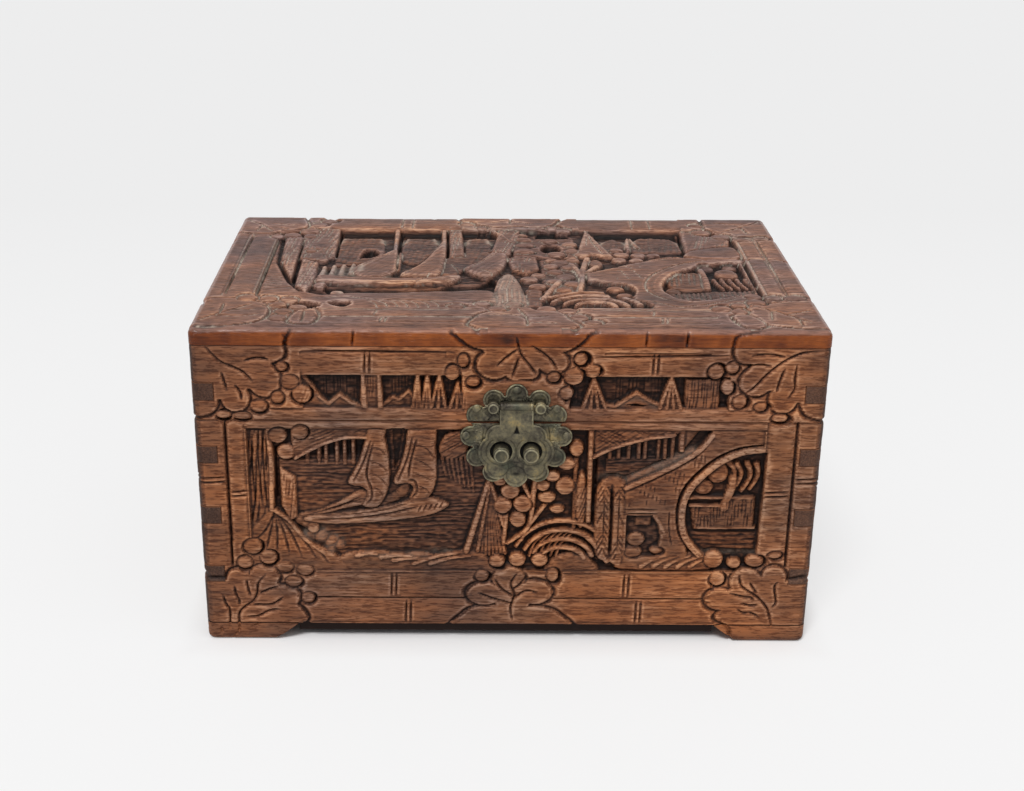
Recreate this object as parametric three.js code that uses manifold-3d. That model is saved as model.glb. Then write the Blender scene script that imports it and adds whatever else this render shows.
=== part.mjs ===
// Carved camphor-wood box with a hinged lid, a scalloped brass lock plate and a swinging hasp.
// Millimetres, +Z up, +X to the right of someone who faces the lock, the lock towards -Y.
// The origin is under the middle of the whole object, on the surface that it stands on.
import * as THREE from "three";
import { mergeVertices } from "three/addons/utils/BufferGeometryUtils.js";
import Module from "manifold-3d";

const wasm = await Module();
wasm.setup();

// Carcass
const boxWidth = 300;
const boxDepth = 191.7;
const footHeight = 9.5;
const bodyWallHeight = 110;
const lidGap = 0.4;
const lidWallHeight = 37.6;
const slabThickness = 8.5;
const wallThickness = 10.5;
const glueGap = 0.2;
const cornerRadius = 4;
const slabEdgeRadius = 3.5;

// Corner joints: tenons of the end boards show on the front and the back
const tenonHeight = 8.5;
const bodyTenonCount = 3;
const lowestTenonRise = 23.5;
const highestTenonRise = 88;
const lidTenonRise = 10.1;

// Base
const bottomBoardThickness = 6;
const bottomBoardInset = 4.5;
const footLength = 46;
const footToe = 33;
const footBendRun = 5;
const footBendRise = 2.6;
const footEdgeRadius = 3;

// Carved frame of bamboo stems round each sunken field
const fieldDepth = 4.5;
const slabFieldDepth = 3.6;
const slabRecessDepth = 5.6;
const slabPanelDepth = 2;
const slabThicketDepth = 1.2;
const slabHollowDepth = 6.2;
const lowFormDepth = 1.8;
const frameWidth = 25;
const frameGrooveInset = 14;
const grooveWidth = 1.6;
const grooveDepth = 1.8;
const lowerRailHeight = 28.5;
const lowerRailGrooveRise = 14;
const upperRailHeight = 4.5;
const lidRailHeight = 6;
const lidBandHeight = 16.5;
const lidBandEndInset = 48;
const slabFrontRailWidth = 31.4;
const slabBackRailWidth = 23.4;
const slabEndFrameWidth = 25;
const slabRecessWidth = 13.4;
const leftEndSceneX = -55.6;
const rightEndSceneX = 53;

// Scalloped lock plate of two halves
const lockCentreX = 3.5;
const lockDrop = 7.4;
const plateThickness = 1;
const plateSeatGap = 0.1;
const plateEdgeSetback = 0.4;
const plateLobeCount = 12;
const roundSegments = 12;
const plateLobeRing = 21.5;
const plateLobeRadius = 5.2;
const plateSeatMargin = 2;

// Hasp on its pin between two eye posts
const haspThickness = 1.2;
const haspPlateClearance = 0.3;
const haspAxisRise = 9.4;
const haspStrapWidth = 16;
const haspBarrelRadius = 2;
const haspPinRadius = 0.8;
const haspPinOverhang = 1;
const pinClearance = 0.3;
const flapEarSetOut = 2.1;
const flapEarDrop = 0.2;
const flapEarRadius = 9;
const flapShoulderRun = 8.4;
const flapShoulderRise = 7.4;
const flapShoulderRadius = 6.4;
const flapHipRun = 8.6;
const flapHipDrop = 8;
const flapHipRadius = 6.6;
const flapTipDrop = 12.2;
const flapTipRadius = 6;
const eyePostRadius = 2.8;
const eyePostReach = 6;
const eyePostGap = 0.3;

// Staple posts that the hasp drops over
const staplePostRadius = 3.9;
const staplePostReach = 7;
const staplePostSpacing = 14.2;
const staplePostDrop = 14.4;
const staplePostTaper = 0.6;
const stapleHoleRadius = 1.5;
const stapleHoleReach = 4.6;
const haspHoleClearance = 1.3;
const postShankRadius = 1.4;
const postShankLength = 8;
const postDome = 1.2;

// Domed nails of the plate
const nailRing = 24;
const upperNailAngles = [38, 90, 142];
const lowerNailAngles = [2, 178];
const nailHeadRadius = 2;
const nailHeadHeight = 0.9;
const nailShankRadius = 0.7;
const nailLength = 7.5;
const nailFit = 0.2;

// Butt hinges let into the back edges
const hingeLength = 32;
const hingeEndDistance = 42;
const hingeInset = 3;
const hingeLeafThickness = 1;
const hingeLeafWidth = 5;
const knuckleRadius = 2;
const knuckleCount = 5;
const knuckleGap = 0.3;
const hingePinRadius = 0.8;
const stopBevelDegrees = 48;
const screwSpacing = 20;
const screwHeadRadius = 1.6;
const screwHeadDepth = 0.9;
const screwShankRadius = 0.8;
const screwLength = 8;

// Levels and faces that follow from the sizes
const right = boxWidth / 2;
const back = boxDepth / 2;
const front = -back;
const bodyTop = footHeight + bodyWallHeight;
const lidBottom = bodyTop + lidGap;
const lidWallTop = lidBottom + lidWallHeight;
const slabBottom = lidWallTop + glueGap;
const slabTop = slabBottom + slabThickness;
const splitLevel = (bodyTop + lidBottom) / 2;
const plateFront = front - plateSeatGap - plateThickness;
const postSeat = plateFront - plateSeatGap;
const past = 1;
const beyond = 2 * boxWidth;

const finishes = {
  wood: { color: 0x7a4529, roughness: 0.55, metalness: 0 },
  baseWood: { color: 0x3f2317, roughness: 0.7, metalness: 0 },
  brass: { color: 0x77704a, roughness: 0.4, metalness: 1 },
};

const box = new THREE.Group();
const body = new THREE.Group();
const lid = new THREE.Group();
const haspGroup = new THREE.Group();
box.add(body, lid);
lid.add(haspGroup);

function toSolid(geometry) {
  const bare = geometry.index ? geometry.toNonIndexed() : geometry.clone();
  bare.deleteAttribute("normal");
  bare.deleteAttribute("uv");
  const merged = mergeVertices(bare, 1e-4);
  const mesh = new wasm.Mesh({
    numProp: 3,
    vertProperties: new Float32Array(merged.attributes.position.array),
    triVerts: new Uint32Array(merged.index.array),
  });
  return new wasm.Manifold(mesh);
}

function toGeometry(solid) {
  const mesh = solid.getMesh();
  const geometry = new THREE.BufferGeometry();
  geometry.setAttribute("position", new THREE.BufferAttribute(mesh.vertProperties, mesh.numProp));
  geometry.setIndex(new THREE.BufferAttribute(mesh.triVerts, 1));
  const flat = geometry.toNonIndexed();
  flat.computeVertexNormals();
  return flat;
}

function place(group, name, solid, finish) {
  const mesh = new THREE.Mesh(
    toGeometry(solid),
    new THREE.MeshStandardMaterial(finishes[finish]),
  );
  mesh.name = name;
  group.add(mesh);
}

function block(x0, x1, y0, y1, z0, z1) {
  const geometry = new THREE.BoxGeometry(x1 - x0, y1 - y0, z1 - z0);
  geometry.translate((x0 + x1) / 2, (y0 + y1) / 2, (z0 + z1) / 2);
  return toSolid(geometry);
}

// A rod along X
function rod(radius, x0, x1, y, z, sides = 16) {
  const geometry = new THREE.CylinderGeometry(radius, radius, x1 - x0, sides);
  geometry.rotateZ(Math.PI / 2);
  geometry.translate((x0 + x1) / 2, y, z);
  return toSolid(geometry);
}

// A turned shape: its profile lists [radius, height], with the heights along `axis`
function turned(profile, position, axis, sides = 16) {
  const points = profile.map(([radius, height]) => new THREE.Vector2(radius, height));
  const geometry = new THREE.LatheGeometry(points, sides);
  const up = new THREE.Vector3(0, 1, 0);
  const turn = new THREE.Quaternion().setFromUnitVectors(up, new THREE.Vector3(...axis));
  geometry.applyQuaternion(turn);
  geometry.translate(...position);
  return toSolid(geometry);
}

function extrude(shape, depth, curveSegments) {
  return new THREE.ExtrudeGeometry(shape, { depth, bevelEnabled: false, curveSegments });
}

// A shape drawn in X and Z, from y0 to y1
function frontPrism(shape, y0, y1, curveSegments = 6) {
  const geometry = extrude(shape, y1 - y0, curveSegments);
  geometry.rotateX(Math.PI / 2);
  geometry.translate(0, y1, 0);
  return toSolid(geometry);
}

// A shape drawn in Y and Z, from x0 to x1
function sidePrism(shape, x0, x1, curveSegments = 6) {
  const geometry = extrude(shape, x1 - x0, curveSegments);
  geometry.rotateX(Math.PI / 2);
  geometry.rotateZ(Math.PI / 2);
  geometry.translate(x0, 0, 0);
  return toSolid(geometry);
}

// A shape drawn in X and Y, from z0 to z1
function levelPrism(shape, z0, z1, curveSegments = 6) {
  const geometry = extrude(shape, z1 - z0, curveSegments);
  geometry.translate(0, 0, z0);
  return toSolid(geometry);
}

function outline(points) {
  return new THREE.Shape(points.map(([x, y]) => new THREE.Vector2(x, y)));
}

function ellipse(x, y, halfWidth, halfHeight = halfWidth) {
  const shape = new THREE.Shape();
  shape.absellipse(x, y, halfWidth, halfHeight, 0, 2 * Math.PI, false, 0);
  return shape;
}

function union(solids) {
  return solids.reduce((sum, solid) => sum.add(solid));
}

function cut(solid, tools) {
  return tools.reduce((rest, tool) => rest.subtract(tool), solid);
}

// The carcass in plan, with its corners rounded
function carcassPlan() {
  const shape = new THREE.Shape();
  const x = right - cornerRadius;
  const y = back - cornerRadius;
  const quarter = Math.PI / 2;
  shape.absarc(x, -y, cornerRadius, -quarter, 0);
  shape.absarc(x, y, cornerRadius, 0, quarter);
  shape.absarc(-x, y, cornerRadius, quarter, 2 * quarter);
  shape.absarc(-x, -y, cornerRadius, 2 * quarter, 3 * quarter);
  return shape;
}

const carcass = levelPrism(carcassPlan(), -past, slabTop + past, 4);

// Corner joints
const tenonPitch = (highestTenonRise - lowestTenonRise) / (bodyTenonCount - 1);
const bodyTenons = [];
for (let i = 0; i < bodyTenonCount; i += 1) {
  bodyTenons.push(footHeight + lowestTenonRise + i * tenonPitch);
}
const lidTenons = [lidBottom + lidTenonRise];
const bodyWall = { z0: footHeight, z1: bodyTop, tenons: bodyTenons };
const lidWall = { z0: lidBottom, z1: lidWallTop, tenons: lidTenons };

// A front board (side -1) or back board (side 1), notched at both ends for the tenons
function longBoard(side, wall) {
  const faces = [side * back, side * (back - wallThickness)].sort((a, b) => a - b);
  const notch = right - wallThickness - glueGap;
  const notches = wall.tenons.flatMap((z) =>
    [-1, 1].map((end) => {
      const ends = [end * notch, end * (right + past)].sort((a, b) => a - b);
      return block(...ends, -beyond, beyond, z - glueGap, z + tenonHeight + glueGap);
    }),
  );
  return cut(block(-right, right, ...faces, wall.z0, wall.z1), notches).intersect(carcass);
}

// An end board between the long boards, with its tenons through them
function endBoard(side, wall) {
  const faces = [side * right, side * (right - wallThickness)].sort((a, b) => a - b);
  const shoulder = back - wallThickness - glueGap;
  const tenons = wall.tenons.map((z) => block(...faces, -back, back, z, z + tenonHeight));
  const panel = block(...faces, -shoulder, shoulder, wall.z0, wall.z1);
  return union([panel, ...tenons]).intersect(carcass);
}

// Carving: a field is sunk into the board, and the main forms are left standing in it.
// The outlines are drawn from the middle of the box, and from the base for the front.
const junkHull = [
  [-101, 68],
  [-92, 63],
  [-60, 66],
  [-30, 70],
  [-26, 77],
  [-62, 75],
  [-80, 71],
];
const junkSails = [
  [
    [-68, 112],
    [-77, 87],
    [-67, 82],
    [-67, 68],
    [-61, 68],
    [-57, 82],
    [-58, 113],
  ],
  [
    [-48, 112],
    [-54, 87],
    [-46, 82],
    [-44, 70],
    [-39, 70],
    [-35, 82],
    [-36, 113],
  ],
];
const bigTree = [
  [-126, 60],
  [-126, 117],
  [-116, 117],
  [-113.6, 96],
  [-114, 68],
];
const nearHill = [
  [-127, 36],
  [-127, 62],
  [-114, 72],
  [-95, 54],
  [-82, 48],
  [-40, 50],
  [-20, 46],
  [22, 48],
  [56, 46],
  [56, 36],
];
const middlePine = [
  [-20.5, 46],
  [-9.5, 89],
  [-6, 84],
  [-1, 50],
  [0, 44],
];
const bigBridge = [
  [43, 36],
  [43, 84],
  [49, 90.5],
  [57, 86],
  [95, 111],
  [97, 118],
  [127, 118],
  [127, 36],
];
const bigBridgeArch = { x: 122, z: 76, halfWidth: 37, halfHeight: 29 };
const leftPost = [
  [-110, 94.5],
  [-103, 90],
  [-103, 66],
  [-108, 62],
  [-110, 66],
];
const leftBank = [
  [-112, 118],
  [-112, 100],
  [-104, 98],
  [-95, 103],
  [-86, 107.5],
  [-77, 110],
  [-61, 110.5],
  [-61, 118],
];
const rightBank = [
  [40, 118],
  [40, 100.5],
  [48, 104.5],
  [57, 108],
  [68, 111],
  [85, 112.5],
  [85, 118],
];
const willowTree = [
  [-34, 104],
  [-29, 112],
  [-18, 112],
  [-18, 100],
  [-22, 86],
  [-27, 90],
];
const fruitGrove = [
  [-1, 50],
  [-6, 74],
  [-5, 90],
  [20, 92],
  [30, 104],
  [34, 110],
  [40, 104],
  [40, 62],
  [30, 50],
];
const grassSheaf = [
  [4, 46],
  [8, 58],
  [18, 65.5],
  [30, 66.5],
  [42, 60],
  [50, 44],
];
const junkStern = [
  [-101, 68],
  [-84, 70],
  [-68, 74],
  [-67, 81],
  [-72, 83],
  [-80, 78],
];
const cornerLeaf = [
  [0, 0],
  [46, 0],
  [52, 14],
  [52, 32],
  [28, 46],
  [14, 34],
  [0, 30],
];
const middleLeaf = [
  [-24, 0],
  [-24, 20],
  [-14, 36],
  [20, 36],
  [30, 20],
  [30, 0],
];
const topSails = [
  [
    [-80, 0],
    [-64, 28],
    [-58, 34],
    [-56, 8],
    [-57, -4],
    [-64, -13],
    [-74, -18],
  ],
  [
    [-55, -10],
    [-41, 22],
    [-34, 55],
    [-32, 10],
    [-35, -10],
    [-44, -15],
  ],
  [
    [-22, 0],
    [-7, 30],
    [-2, 34],
    [0, 22],
    [-6, -8],
    [-12, -14],
  ],
];
const topHull = [
  [-97, -11],
  [-80, -15],
  [-44, -16],
  [-24, -12],
  [-26, -19],
  [-36, -23],
  [-60, -24.5],
  [-92, -23],
];
const topHold = [
  [-91, -25],
  [-42, -26],
  [-16, -19],
  [-6, -10],
  [-5, -30],
  [-40, -38],
  [-89, -38],
];
const topShore = [
  [-127, -66],
  [-127, -42],
  [-104, -39],
  [-92, -44],
  [-80, -41],
  [-30, -37.5],
  [-10, -36],
  [-7, -46],
  [-7, -66],
];
const topGrove = [
  [-127, -44],
  [-127, 60],
  [-112, 60],
  [-108, 74],
  [-92, 74],
  [-91, 20],
  [-99, 14],
  [-98, -24],
  [-103, -40],
];
const topPalm = [
  [-9, 26],
  [-5, 52],
  [-3, 72],
  [6, 74],
  [8, 58],
  [2, 26],
];
const topStraw = [
  [0, 24],
  [16, 24],
  [17, 2],
  [10, -8],
  [3, 0],
];
const topColumn = [
  [-8, -60],
  [-7, -36],
  [0, -8],
  [7.5, -34],
  [9, -60],
];
const topPeak = [
  [45.6, 74],
  [39, 30],
  [58, 20],
];
const topRoof = [
  [98, 74],
  [108, 66],
  [127, 54],
  [127, 22],
  [108, 20],
  [96, 24],
];
const topBridge = [
  [41, -8],
  [88, 23],
  [127, 17],
  [127, -64],
  [90, -64],
  [62, -50],
  [50, -22],
  [41, -18],
];
const topArch = [
  [124, 12],
  [102, 7],
  [88, -5],
  [78, -28],
  [80, -44],
  [88, -52],
  [124, -38],
];
const topScreen = [
  [81, -48],
  [83, -14],
  [96, -2],
  [102, -12],
  [102, -30],
  [127, -30],
  [127, -48],
];
const topSheaf = [
  [-33.3, 77],
  [-22.5, 76],
  [-22, 24],
  [-14, 23],
  [-18.6, 4],
  [-28, -9],
  [-33.3, -7],
];
const topMast = [
  [-62, 76],
  [-57.5, 76],
  [-57.5, 30],
  [-60, 30],
];
const topDoor = [
  [47, -23],
  [58, -24],
  [64, -32],
  [62, -44],
  [52, -46],
  [47, -36],
];
const topHollows = [
  { x: 24.5, y: 38.5, halfWidth: 6.4, halfHeight: 9.2 },
  { x: 26.5, y: 65.5, halfWidth: 9, halfHeight: 6.6 },
  { x: -74, y: 30, halfWidth: 5.5, halfHeight: 8 },
  { x: -99, y: -58.5, halfWidth: 6, halfHeight: 4 },
  { x: -82, y: -58.5, halfWidth: 5.5, halfHeight: 5 },
];
const topFan = { x: 42, y: -60, halfWidth: 30, halfHeight: 24 };
const topThickets = [
  { x0: 4, x1: 38, y0: 22, y1: 58 },
  { x0: 18, x1: 38, y0: -38, y1: 20 },
  { x0: 37, x1: 50, y0: -6, y1: 20.5 },
  { x0: 56, x1: 82, y0: 10, y1: 33 },
  { x0: 7, x1: 19, y0: -61, y1: -10 },
];
const topPanels = [
  { x0: -90, x1: -67, y0: 16, y1: 58 },
  { x0: -55, x1: -37.5, y0: 16, y1: 58 },
  { x0: -21, x1: -8.5, y0: 16, y1: 58 },
  { x0: 52, x1: 67, y0: 34, y1: 58 },
  { x0: 69.5, x1: 96, y0: 34, y1: 60 },
  { x0: -97.5, x1: -59, y0: -14, y1: 15 },
  { x0: 103, x1: 121, y0: -26, y1: 8 },
];
const topRecesses = [
  { x0: -96, x1: -3 },
  { x0: 49, x1: 97 },
];

const lockCentreZ = splitLevel - lockDrop;
const plateReach = plateLobeRing + plateLobeRadius;

// Forms of a long face, as solids that run right through the carcass
function standing(shapes) {
  return shapes.map((shape) => frontPrism(shape, -beyond, beyond, 10));
}

// The same for forms that stay a little below the face, at the front and at the back
function standingLow(shapes) {
  const level = back - lowFormDepth;
  return shapes.map((shape) => frontPrism(shape, -level, level, 10));
}

const fullForms = [junkHull, ...junkSails, bigTree, leftPost, nearHill, middlePine];
const lowForms = [leftBank, rightBank, willowTree, fruitGrove, grassSheaf, junkStern];

function frontCorners(z, rise) {
  return [-1, 1].map((end) =>
    outline(cornerLeaf.map(([run, height]) => [end * (right - run), z + rise * height])),
  );
}

const lockSeat = ellipse(lockCentreX, lockCentreZ, plateReach + plateSeatMargin);

function frontScene() {
  const arch = ellipse(
    bigBridgeArch.x,
    bigBridgeArch.z,
    bigBridgeArch.halfWidth,
    bigBridgeArch.halfHeight,
  );
  const [bridge, hollow] = standing([outline(bigBridge), arch]);
  const wall = bridge.subtract(hollow);
  return [wall, ...standing(fullForms.map(outline)), ...standingLow(lowForms.map(outline))];
}

// The same scene on an end face, drawn from the front's by the place that comes to its middle
function endScene(side) {
  const middle = side < 0 ? leftEndSceneX : rightEndSceneX;
  const level = right - lowFormDepth;
  const through = (shape) => sidePrism(shape, -beyond, beyond, 10);
  const turned = (points) => outline(points.map(([x, z]) => [side * (x - middle), z]));
  const low = lowForms.map((points) => sidePrism(turned(points), -level, level, 10));
  const { x, z, halfWidth, halfHeight } = bigBridgeArch;
  const hollow = through(ellipse(side * (x - middle), z, halfWidth, halfHeight));
  const corners = [-1, 1].map((end) =>
    through(outline(cornerLeaf.map(([run, rise]) => [end * (back - run), footHeight + rise]))),
  );
  const wall = through(turned(bigBridge)).subtract(hollow);
  return [wall, ...fullForms.map((points) => through(turned(points))), ...low, ...corners];
}

// A groove along a face that looks along Y, between two stems of the frame
function faceGroove(side, x0, x1, z0, z1) {
  const faces = [side * (back - grooveDepth), side * (back + past)].sort((a, b) => a - b);
  return block(x0, x1, ...faces, z0, z1);
}

// The same on an end face
function endGroove(side, y0, y1, z0, z1) {
  const faces = [side * (right - grooveDepth), side * (right + past)].sort((a, b) => a - b);
  return block(...faces, y0, y1, z0, z1);
}

const bodyField = { z0: footHeight + lowerRailHeight, z1: bodyTop - upperRailHeight };
const lidField = { z0: lidBottom + lidRailHeight, z1: lidBottom + lidRailHeight + lidBandHeight };
const lowerGrooveZ = footHeight + lowerRailGrooveRise;

function bodyLongCarving(side, forms) {
  const reach = right - frameWidth;
  const faces = [side * (back - fieldDepth), side * (back + past)].sort((a, b) => a - b);
  const field = block(-reach, reach, ...faces, bodyField.z0, bodyField.z1);
  const corners = standing(frontCorners(footHeight, 1));
  const middle = standing([outline(middleLeaf.map(([x, z]) => [x, footHeight + z]))]);
  const raised = [...corners, ...middle, ...forms];
  const stems = [-1, 1].map((end) => {
    const x = end * (right - frameGrooveInset);
    return faceGroove(side, x - grooveWidth / 2, x + grooveWidth / 2, bodyField.z0, bodyField.z1);
  });
  const rail = faceGroove(
    side,
    -reach,
    reach,
    lowerGrooveZ - grooveWidth / 2,
    lowerGrooveZ + grooveWidth / 2,
  );
  return [field, rail, ...stems].map((tool) => cut(tool, raised));
}

function bodyEndCarving(side) {
  const reach = back - frameWidth;
  const faces = [side * (right - fieldDepth), side * (right + past)].sort((a, b) => a - b);
  const field = block(...faces, -reach, reach, bodyField.z0, bodyField.z1);
  const stems = [-1, 1].map((end) => {
    const y = end * (back - frameGrooveInset);
    return endGroove(side, y - grooveWidth / 2, y + grooveWidth / 2, bodyField.z0, bodyField.z1);
  });
  const rail = endGroove(
    side,
    -reach,
    reach,
    lowerGrooveZ - grooveWidth / 2,
    lowerGrooveZ + grooveWidth / 2,
  );
  const raised = endScene(side);
  return [field, rail, ...stems].map((tool) => cut(tool, raised));
}

function lidLongBand(side, forms) {
  const reach = right - lidBandEndInset;
  const faces = [side * (back - fieldDepth), side * (back + past)].sort((a, b) => a - b);
  return cut(block(-reach, reach, ...faces, lidField.z0, lidField.z1), forms);
}

function lidEndBand(side) {
  const reach = back - lidBandEndInset;
  const faces = [side * (right - fieldDepth), side * (right + past)].sort((a, b) => a - b);
  return block(...faces, -reach, reach, lidField.z0, lidField.z1);
}

// Hinges: the back edges are bevelled outwards from the pins' axis, so the open lid stops on them
const hingeAxisY = back - hingeInset;

function backBevel(direction) {
  const run = hingeInset + past;
  const rise = direction * run * Math.tan(THREE.MathUtils.degToRad(stopBevelDegrees));
  const shape = outline([
    [hingeAxisY, splitLevel],
    [hingeAxisY + run, splitLevel + rise],
    [hingeAxisY + run, splitLevel - direction * past],
    [hingeAxisY, splitLevel - direction * past],
  ]);
  return sidePrism(shape, -right - past, right + past);
}

const leafY1 = hingeAxisY - knuckleRadius - pinClearance;
const leafY0 = leafY1 - hingeLeafWidth;
const screwY = (leafY0 + leafY1) / 2;
const hingeCentres = [-1, 1].map((end) => end * (right - hingeEndDistance - hingeLength / 2));
const lowerLeaf = { z0: bodyTop - hingeLeafThickness, z1: bodyTop, first: 0, axis: [0, 0, 1] };
const upperLeaf = { z0: lidBottom, z1: lidBottom + hingeLeafThickness, first: 1, axis: [0, 0, -1] };

function screwProfile(fit) {
  return [
    [0, -screwLength - fit],
    [screwShankRadius + fit, -screwLength - fit],
    [screwShankRadius + fit, -screwHeadDepth],
    [screwHeadRadius + fit, 0],
    [0, 0],
  ];
}

function hingeScrews(centre, leaf, fit) {
  const face = leaf.axis[2] > 0 ? leaf.z1 : leaf.z0;
  return [-1, 1].map((end) =>
    turned(screwProfile(fit), [centre + (end * screwSpacing) / 2, screwY, face], leaf.axis, 12),
  );
}

function hingeLeaf(centre, leaf) {
  const start = centre - hingeLength / 2;
  const pitch = hingeLength / knuckleCount;
  const pieces = [block(start, start + hingeLength, leafY0, leafY1, leaf.z0, leaf.z1)];
  for (let i = leaf.first; i < knuckleCount; i += 2) {
    const x0 = start + i * pitch + knuckleGap / 2;
    const x1 = start + (i + 1) * pitch - knuckleGap / 2;
    pieces.push(block(x0, x1, leafY1 - past, hingeAxisY, leaf.z0, leaf.z1));
    pieces.push(rod(knuckleRadius, x0, x1, hingeAxisY, splitLevel));
  }
  const bore = hingePinRadius + pinClearance;
  const hole = rod(bore, start - past, start + hingeLength + past, hingeAxisY, splitLevel);
  return cut(union(pieces), [hole, ...hingeScrews(centre, leaf, nailFit)]);
}

// The mortise for one leaf and its knuckles
function hingeMortise(centre, leaf) {
  const x0 = centre - hingeLength / 2 - glueGap;
  const x1 = centre + hingeLength / 2 + glueGap;
  const z0 = leaf.axis[2] > 0 ? leaf.z0 - glueGap : leaf.z0 - past;
  const z1 = leaf.axis[2] > 0 ? leaf.z1 + past : leaf.z1 + glueGap;
  const pocket = block(x0, x1, leafY0 - glueGap, hingeAxisY, z0, z1);
  const groove = rod(knuckleRadius + pinClearance, x0, x1, hingeAxisY, splitLevel);
  return [pocket, groove, ...hingeScrews(centre, leaf, nailFit)];
}

// Lock plate, drawn round its centre
function plateDisc() {
  const middle = ellipse(lockCentreX, lockCentreZ, plateLobeRing);
  const solids = [frontPrism(middle, ...plateFaces(), roundSegments)];
  for (let i = 0; i < plateLobeCount; i += 1) {
    const angle = (2 * Math.PI * i) / plateLobeCount;
    const x = lockCentreX + plateLobeRing * Math.cos(angle);
    const z = lockCentreZ + plateLobeRing * Math.sin(angle);
    solids.push(frontPrism(ellipse(x, z, plateLobeRadius), ...plateFaces(), 5));
  }
  return union(solids);
}

function plateFaces() {
  return [plateFront, front - plateSeatGap];
}

function nailPlaces(angles) {
  return angles.map((degrees) => {
    const angle = THREE.MathUtils.degToRad(degrees);
    return {
      x: lockCentreX + nailRing * Math.cos(angle),
      z: lockCentreZ + nailRing * Math.sin(angle),
    };
  });
}

const outwards = [0, -1, 0];
const upperNails = nailPlaces(upperNailAngles);
const lowerNails = nailPlaces(lowerNailAngles);
const haspAxisZ = splitLevel + haspAxisRise;
const haspAxisY = plateFront - haspPlateClearance - haspBarrelRadius;
const eyePostOffset = haspStrapWidth / 2 + eyePostGap + eyePostRadius;
const eyePosts = [-1, 1].map((side) => ({ x: lockCentreX + side * eyePostOffset, z: haspAxisZ }));
const staplePosts = [-1, 1].map((side) => ({
  x: lockCentreX + (side * staplePostSpacing) / 2,
  z: splitLevel - staplePostDrop,
}));

function nail({ x, z }) {
  const profile = [
    [0, -nailLength],
    [nailShankRadius, -nailLength + 2 * nailShankRadius],
    [nailShankRadius, 0],
    [nailHeadRadius, 0],
    [0.75 * nailHeadRadius, 0.7 * nailHeadHeight],
    [0, nailHeadHeight],
  ];
  return turned(profile, [x, postSeat, z], outwards, 12);
}

function postProfile(baseRadius, tipRadius, reach) {
  return [
    [0, -postShankLength],
    [postShankRadius, -postShankLength],
    [postShankRadius, 0],
    [baseRadius, 0],
    [tipRadius, reach - postDome],
    [0.6 * tipRadius, reach],
    [0, reach],
  ];
}

function eyePost({ x, z }) {
  const post = turned(
    postProfile(eyePostRadius, eyePostRadius, eyePostReach),
    [x, postSeat, z],
    outwards,
  );
  const eye = haspPinRadius + pinClearance;
  return post.subtract(rod(eye, x - 2 * eyePostRadius, x + 2 * eyePostRadius, haspAxisY, z));
}

function staplePost({ x, z }) {
  const tip = staplePostRadius - staplePostTaper;
  const post = turned(postProfile(staplePostRadius, tip, staplePostReach), [x, postSeat, z], outwards);
  const y = postSeat - stapleHoleReach;
  const reach = 2 * staplePostRadius;
  return post.subtract(rod(stapleHoleRadius, x - reach, x + reach, y, z));
}

// Holes for nails or posts, through the plate and into the board
function shankHoles(places, shankRadius, length) {
  const radius = shankRadius + nailFit;
  const profile = [
    [0, -length - nailFit],
    [radius, -length - nailFit],
    [radius, past],
    [0, past],
  ];
  return places.map(({ x, z }) => turned(profile, [x, postSeat, z], outwards, 12));
}

const upperHoles = [
  ...shankHoles(upperNails, nailShankRadius, nailLength),
  ...shankHoles(eyePosts, postShankRadius, postShankLength),
];
const lowerHoles = [
  ...shankHoles(lowerNails, nailShankRadius, nailLength),
  ...shankHoles(staplePosts, postShankRadius, postShankLength),
];

// Cloud-shaped flap of the hasp: discs round the two holes, with lobes above and below
const flapMiddle = splitLevel - staplePostDrop;
const flapLobes = [
  { run: staplePostSpacing / 2 + flapEarSetOut, rise: -flapEarDrop, radius: flapEarRadius },
  { run: flapShoulderRun, rise: flapShoulderRise, radius: flapShoulderRadius },
  { run: flapHipRun, rise: -flapHipDrop, radius: flapHipRadius },
  { run: 0, rise: -flapTipDrop, radius: flapTipRadius },
];

function hasp() {
  const faces = [
    haspAxisY + haspBarrelRadius - haspThickness,
    haspAxisY + haspBarrelRadius,
  ];
  const half = haspStrapWidth / 2;
  const x0 = lockCentreX - half;
  const x1 = lockCentreX + half;
  const pieces = [
    rod(haspBarrelRadius, x0, x1, haspAxisY, haspAxisZ),
    block(x0, x1, ...faces, flapMiddle, haspAxisZ),
  ];
  flapLobes.forEach(({ run, rise, radius }) => {
    const sides = run > 0 ? [-1, 1] : [1];
    sides.forEach((side) => {
      const shape = ellipse(lockCentreX + side * run, flapMiddle + rise, radius);
      pieces.push(frontPrism(shape, ...faces, roundSegments));
    });
  });
  const web = ellipse(lockCentreX, flapMiddle, staplePostSpacing / 2);
  pieces.push(frontPrism(web, ...faces, roundSegments));
  const bore = haspPinRadius + pinClearance;
  const tools = [rod(bore, x0 - past, x1 + past, haspAxisY, haspAxisZ)];
  const holeRadius = staplePostRadius + haspHoleClearance;
  staplePosts.forEach(({ x, z }) => {
    tools.push(frontPrism(ellipse(x, z, holeRadius), -beyond, beyond, roundSegments));
  });
  return cut(union(pieces), tools);
}

function foot(sideX, sideY) {
  const top = footHeight - glueGap;
  const profile = (edge, side) => {
    const shape = new THREE.Shape();
    shape.moveTo(edge, top);
    shape.lineTo(edge, footEdgeRadius);
    shape.quadraticCurveTo(edge, 0, edge - side * footEdgeRadius, 0);
    shape.lineTo(edge - side * footToe, 0);
    shape.quadraticCurveTo(
      edge - side * (footToe + footBendRun),
      footBendRise,
      edge - side * footLength,
      top,
    );
    return shape;
  };
  const alongX = frontPrism(profile(sideX * right, sideX), -beyond, beyond, 5);
  const alongY = sidePrism(profile(sideY * back, sideY), -beyond, beyond, 5);
  return alongX.intersect(alongY).intersect(carcass);
}

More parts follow.
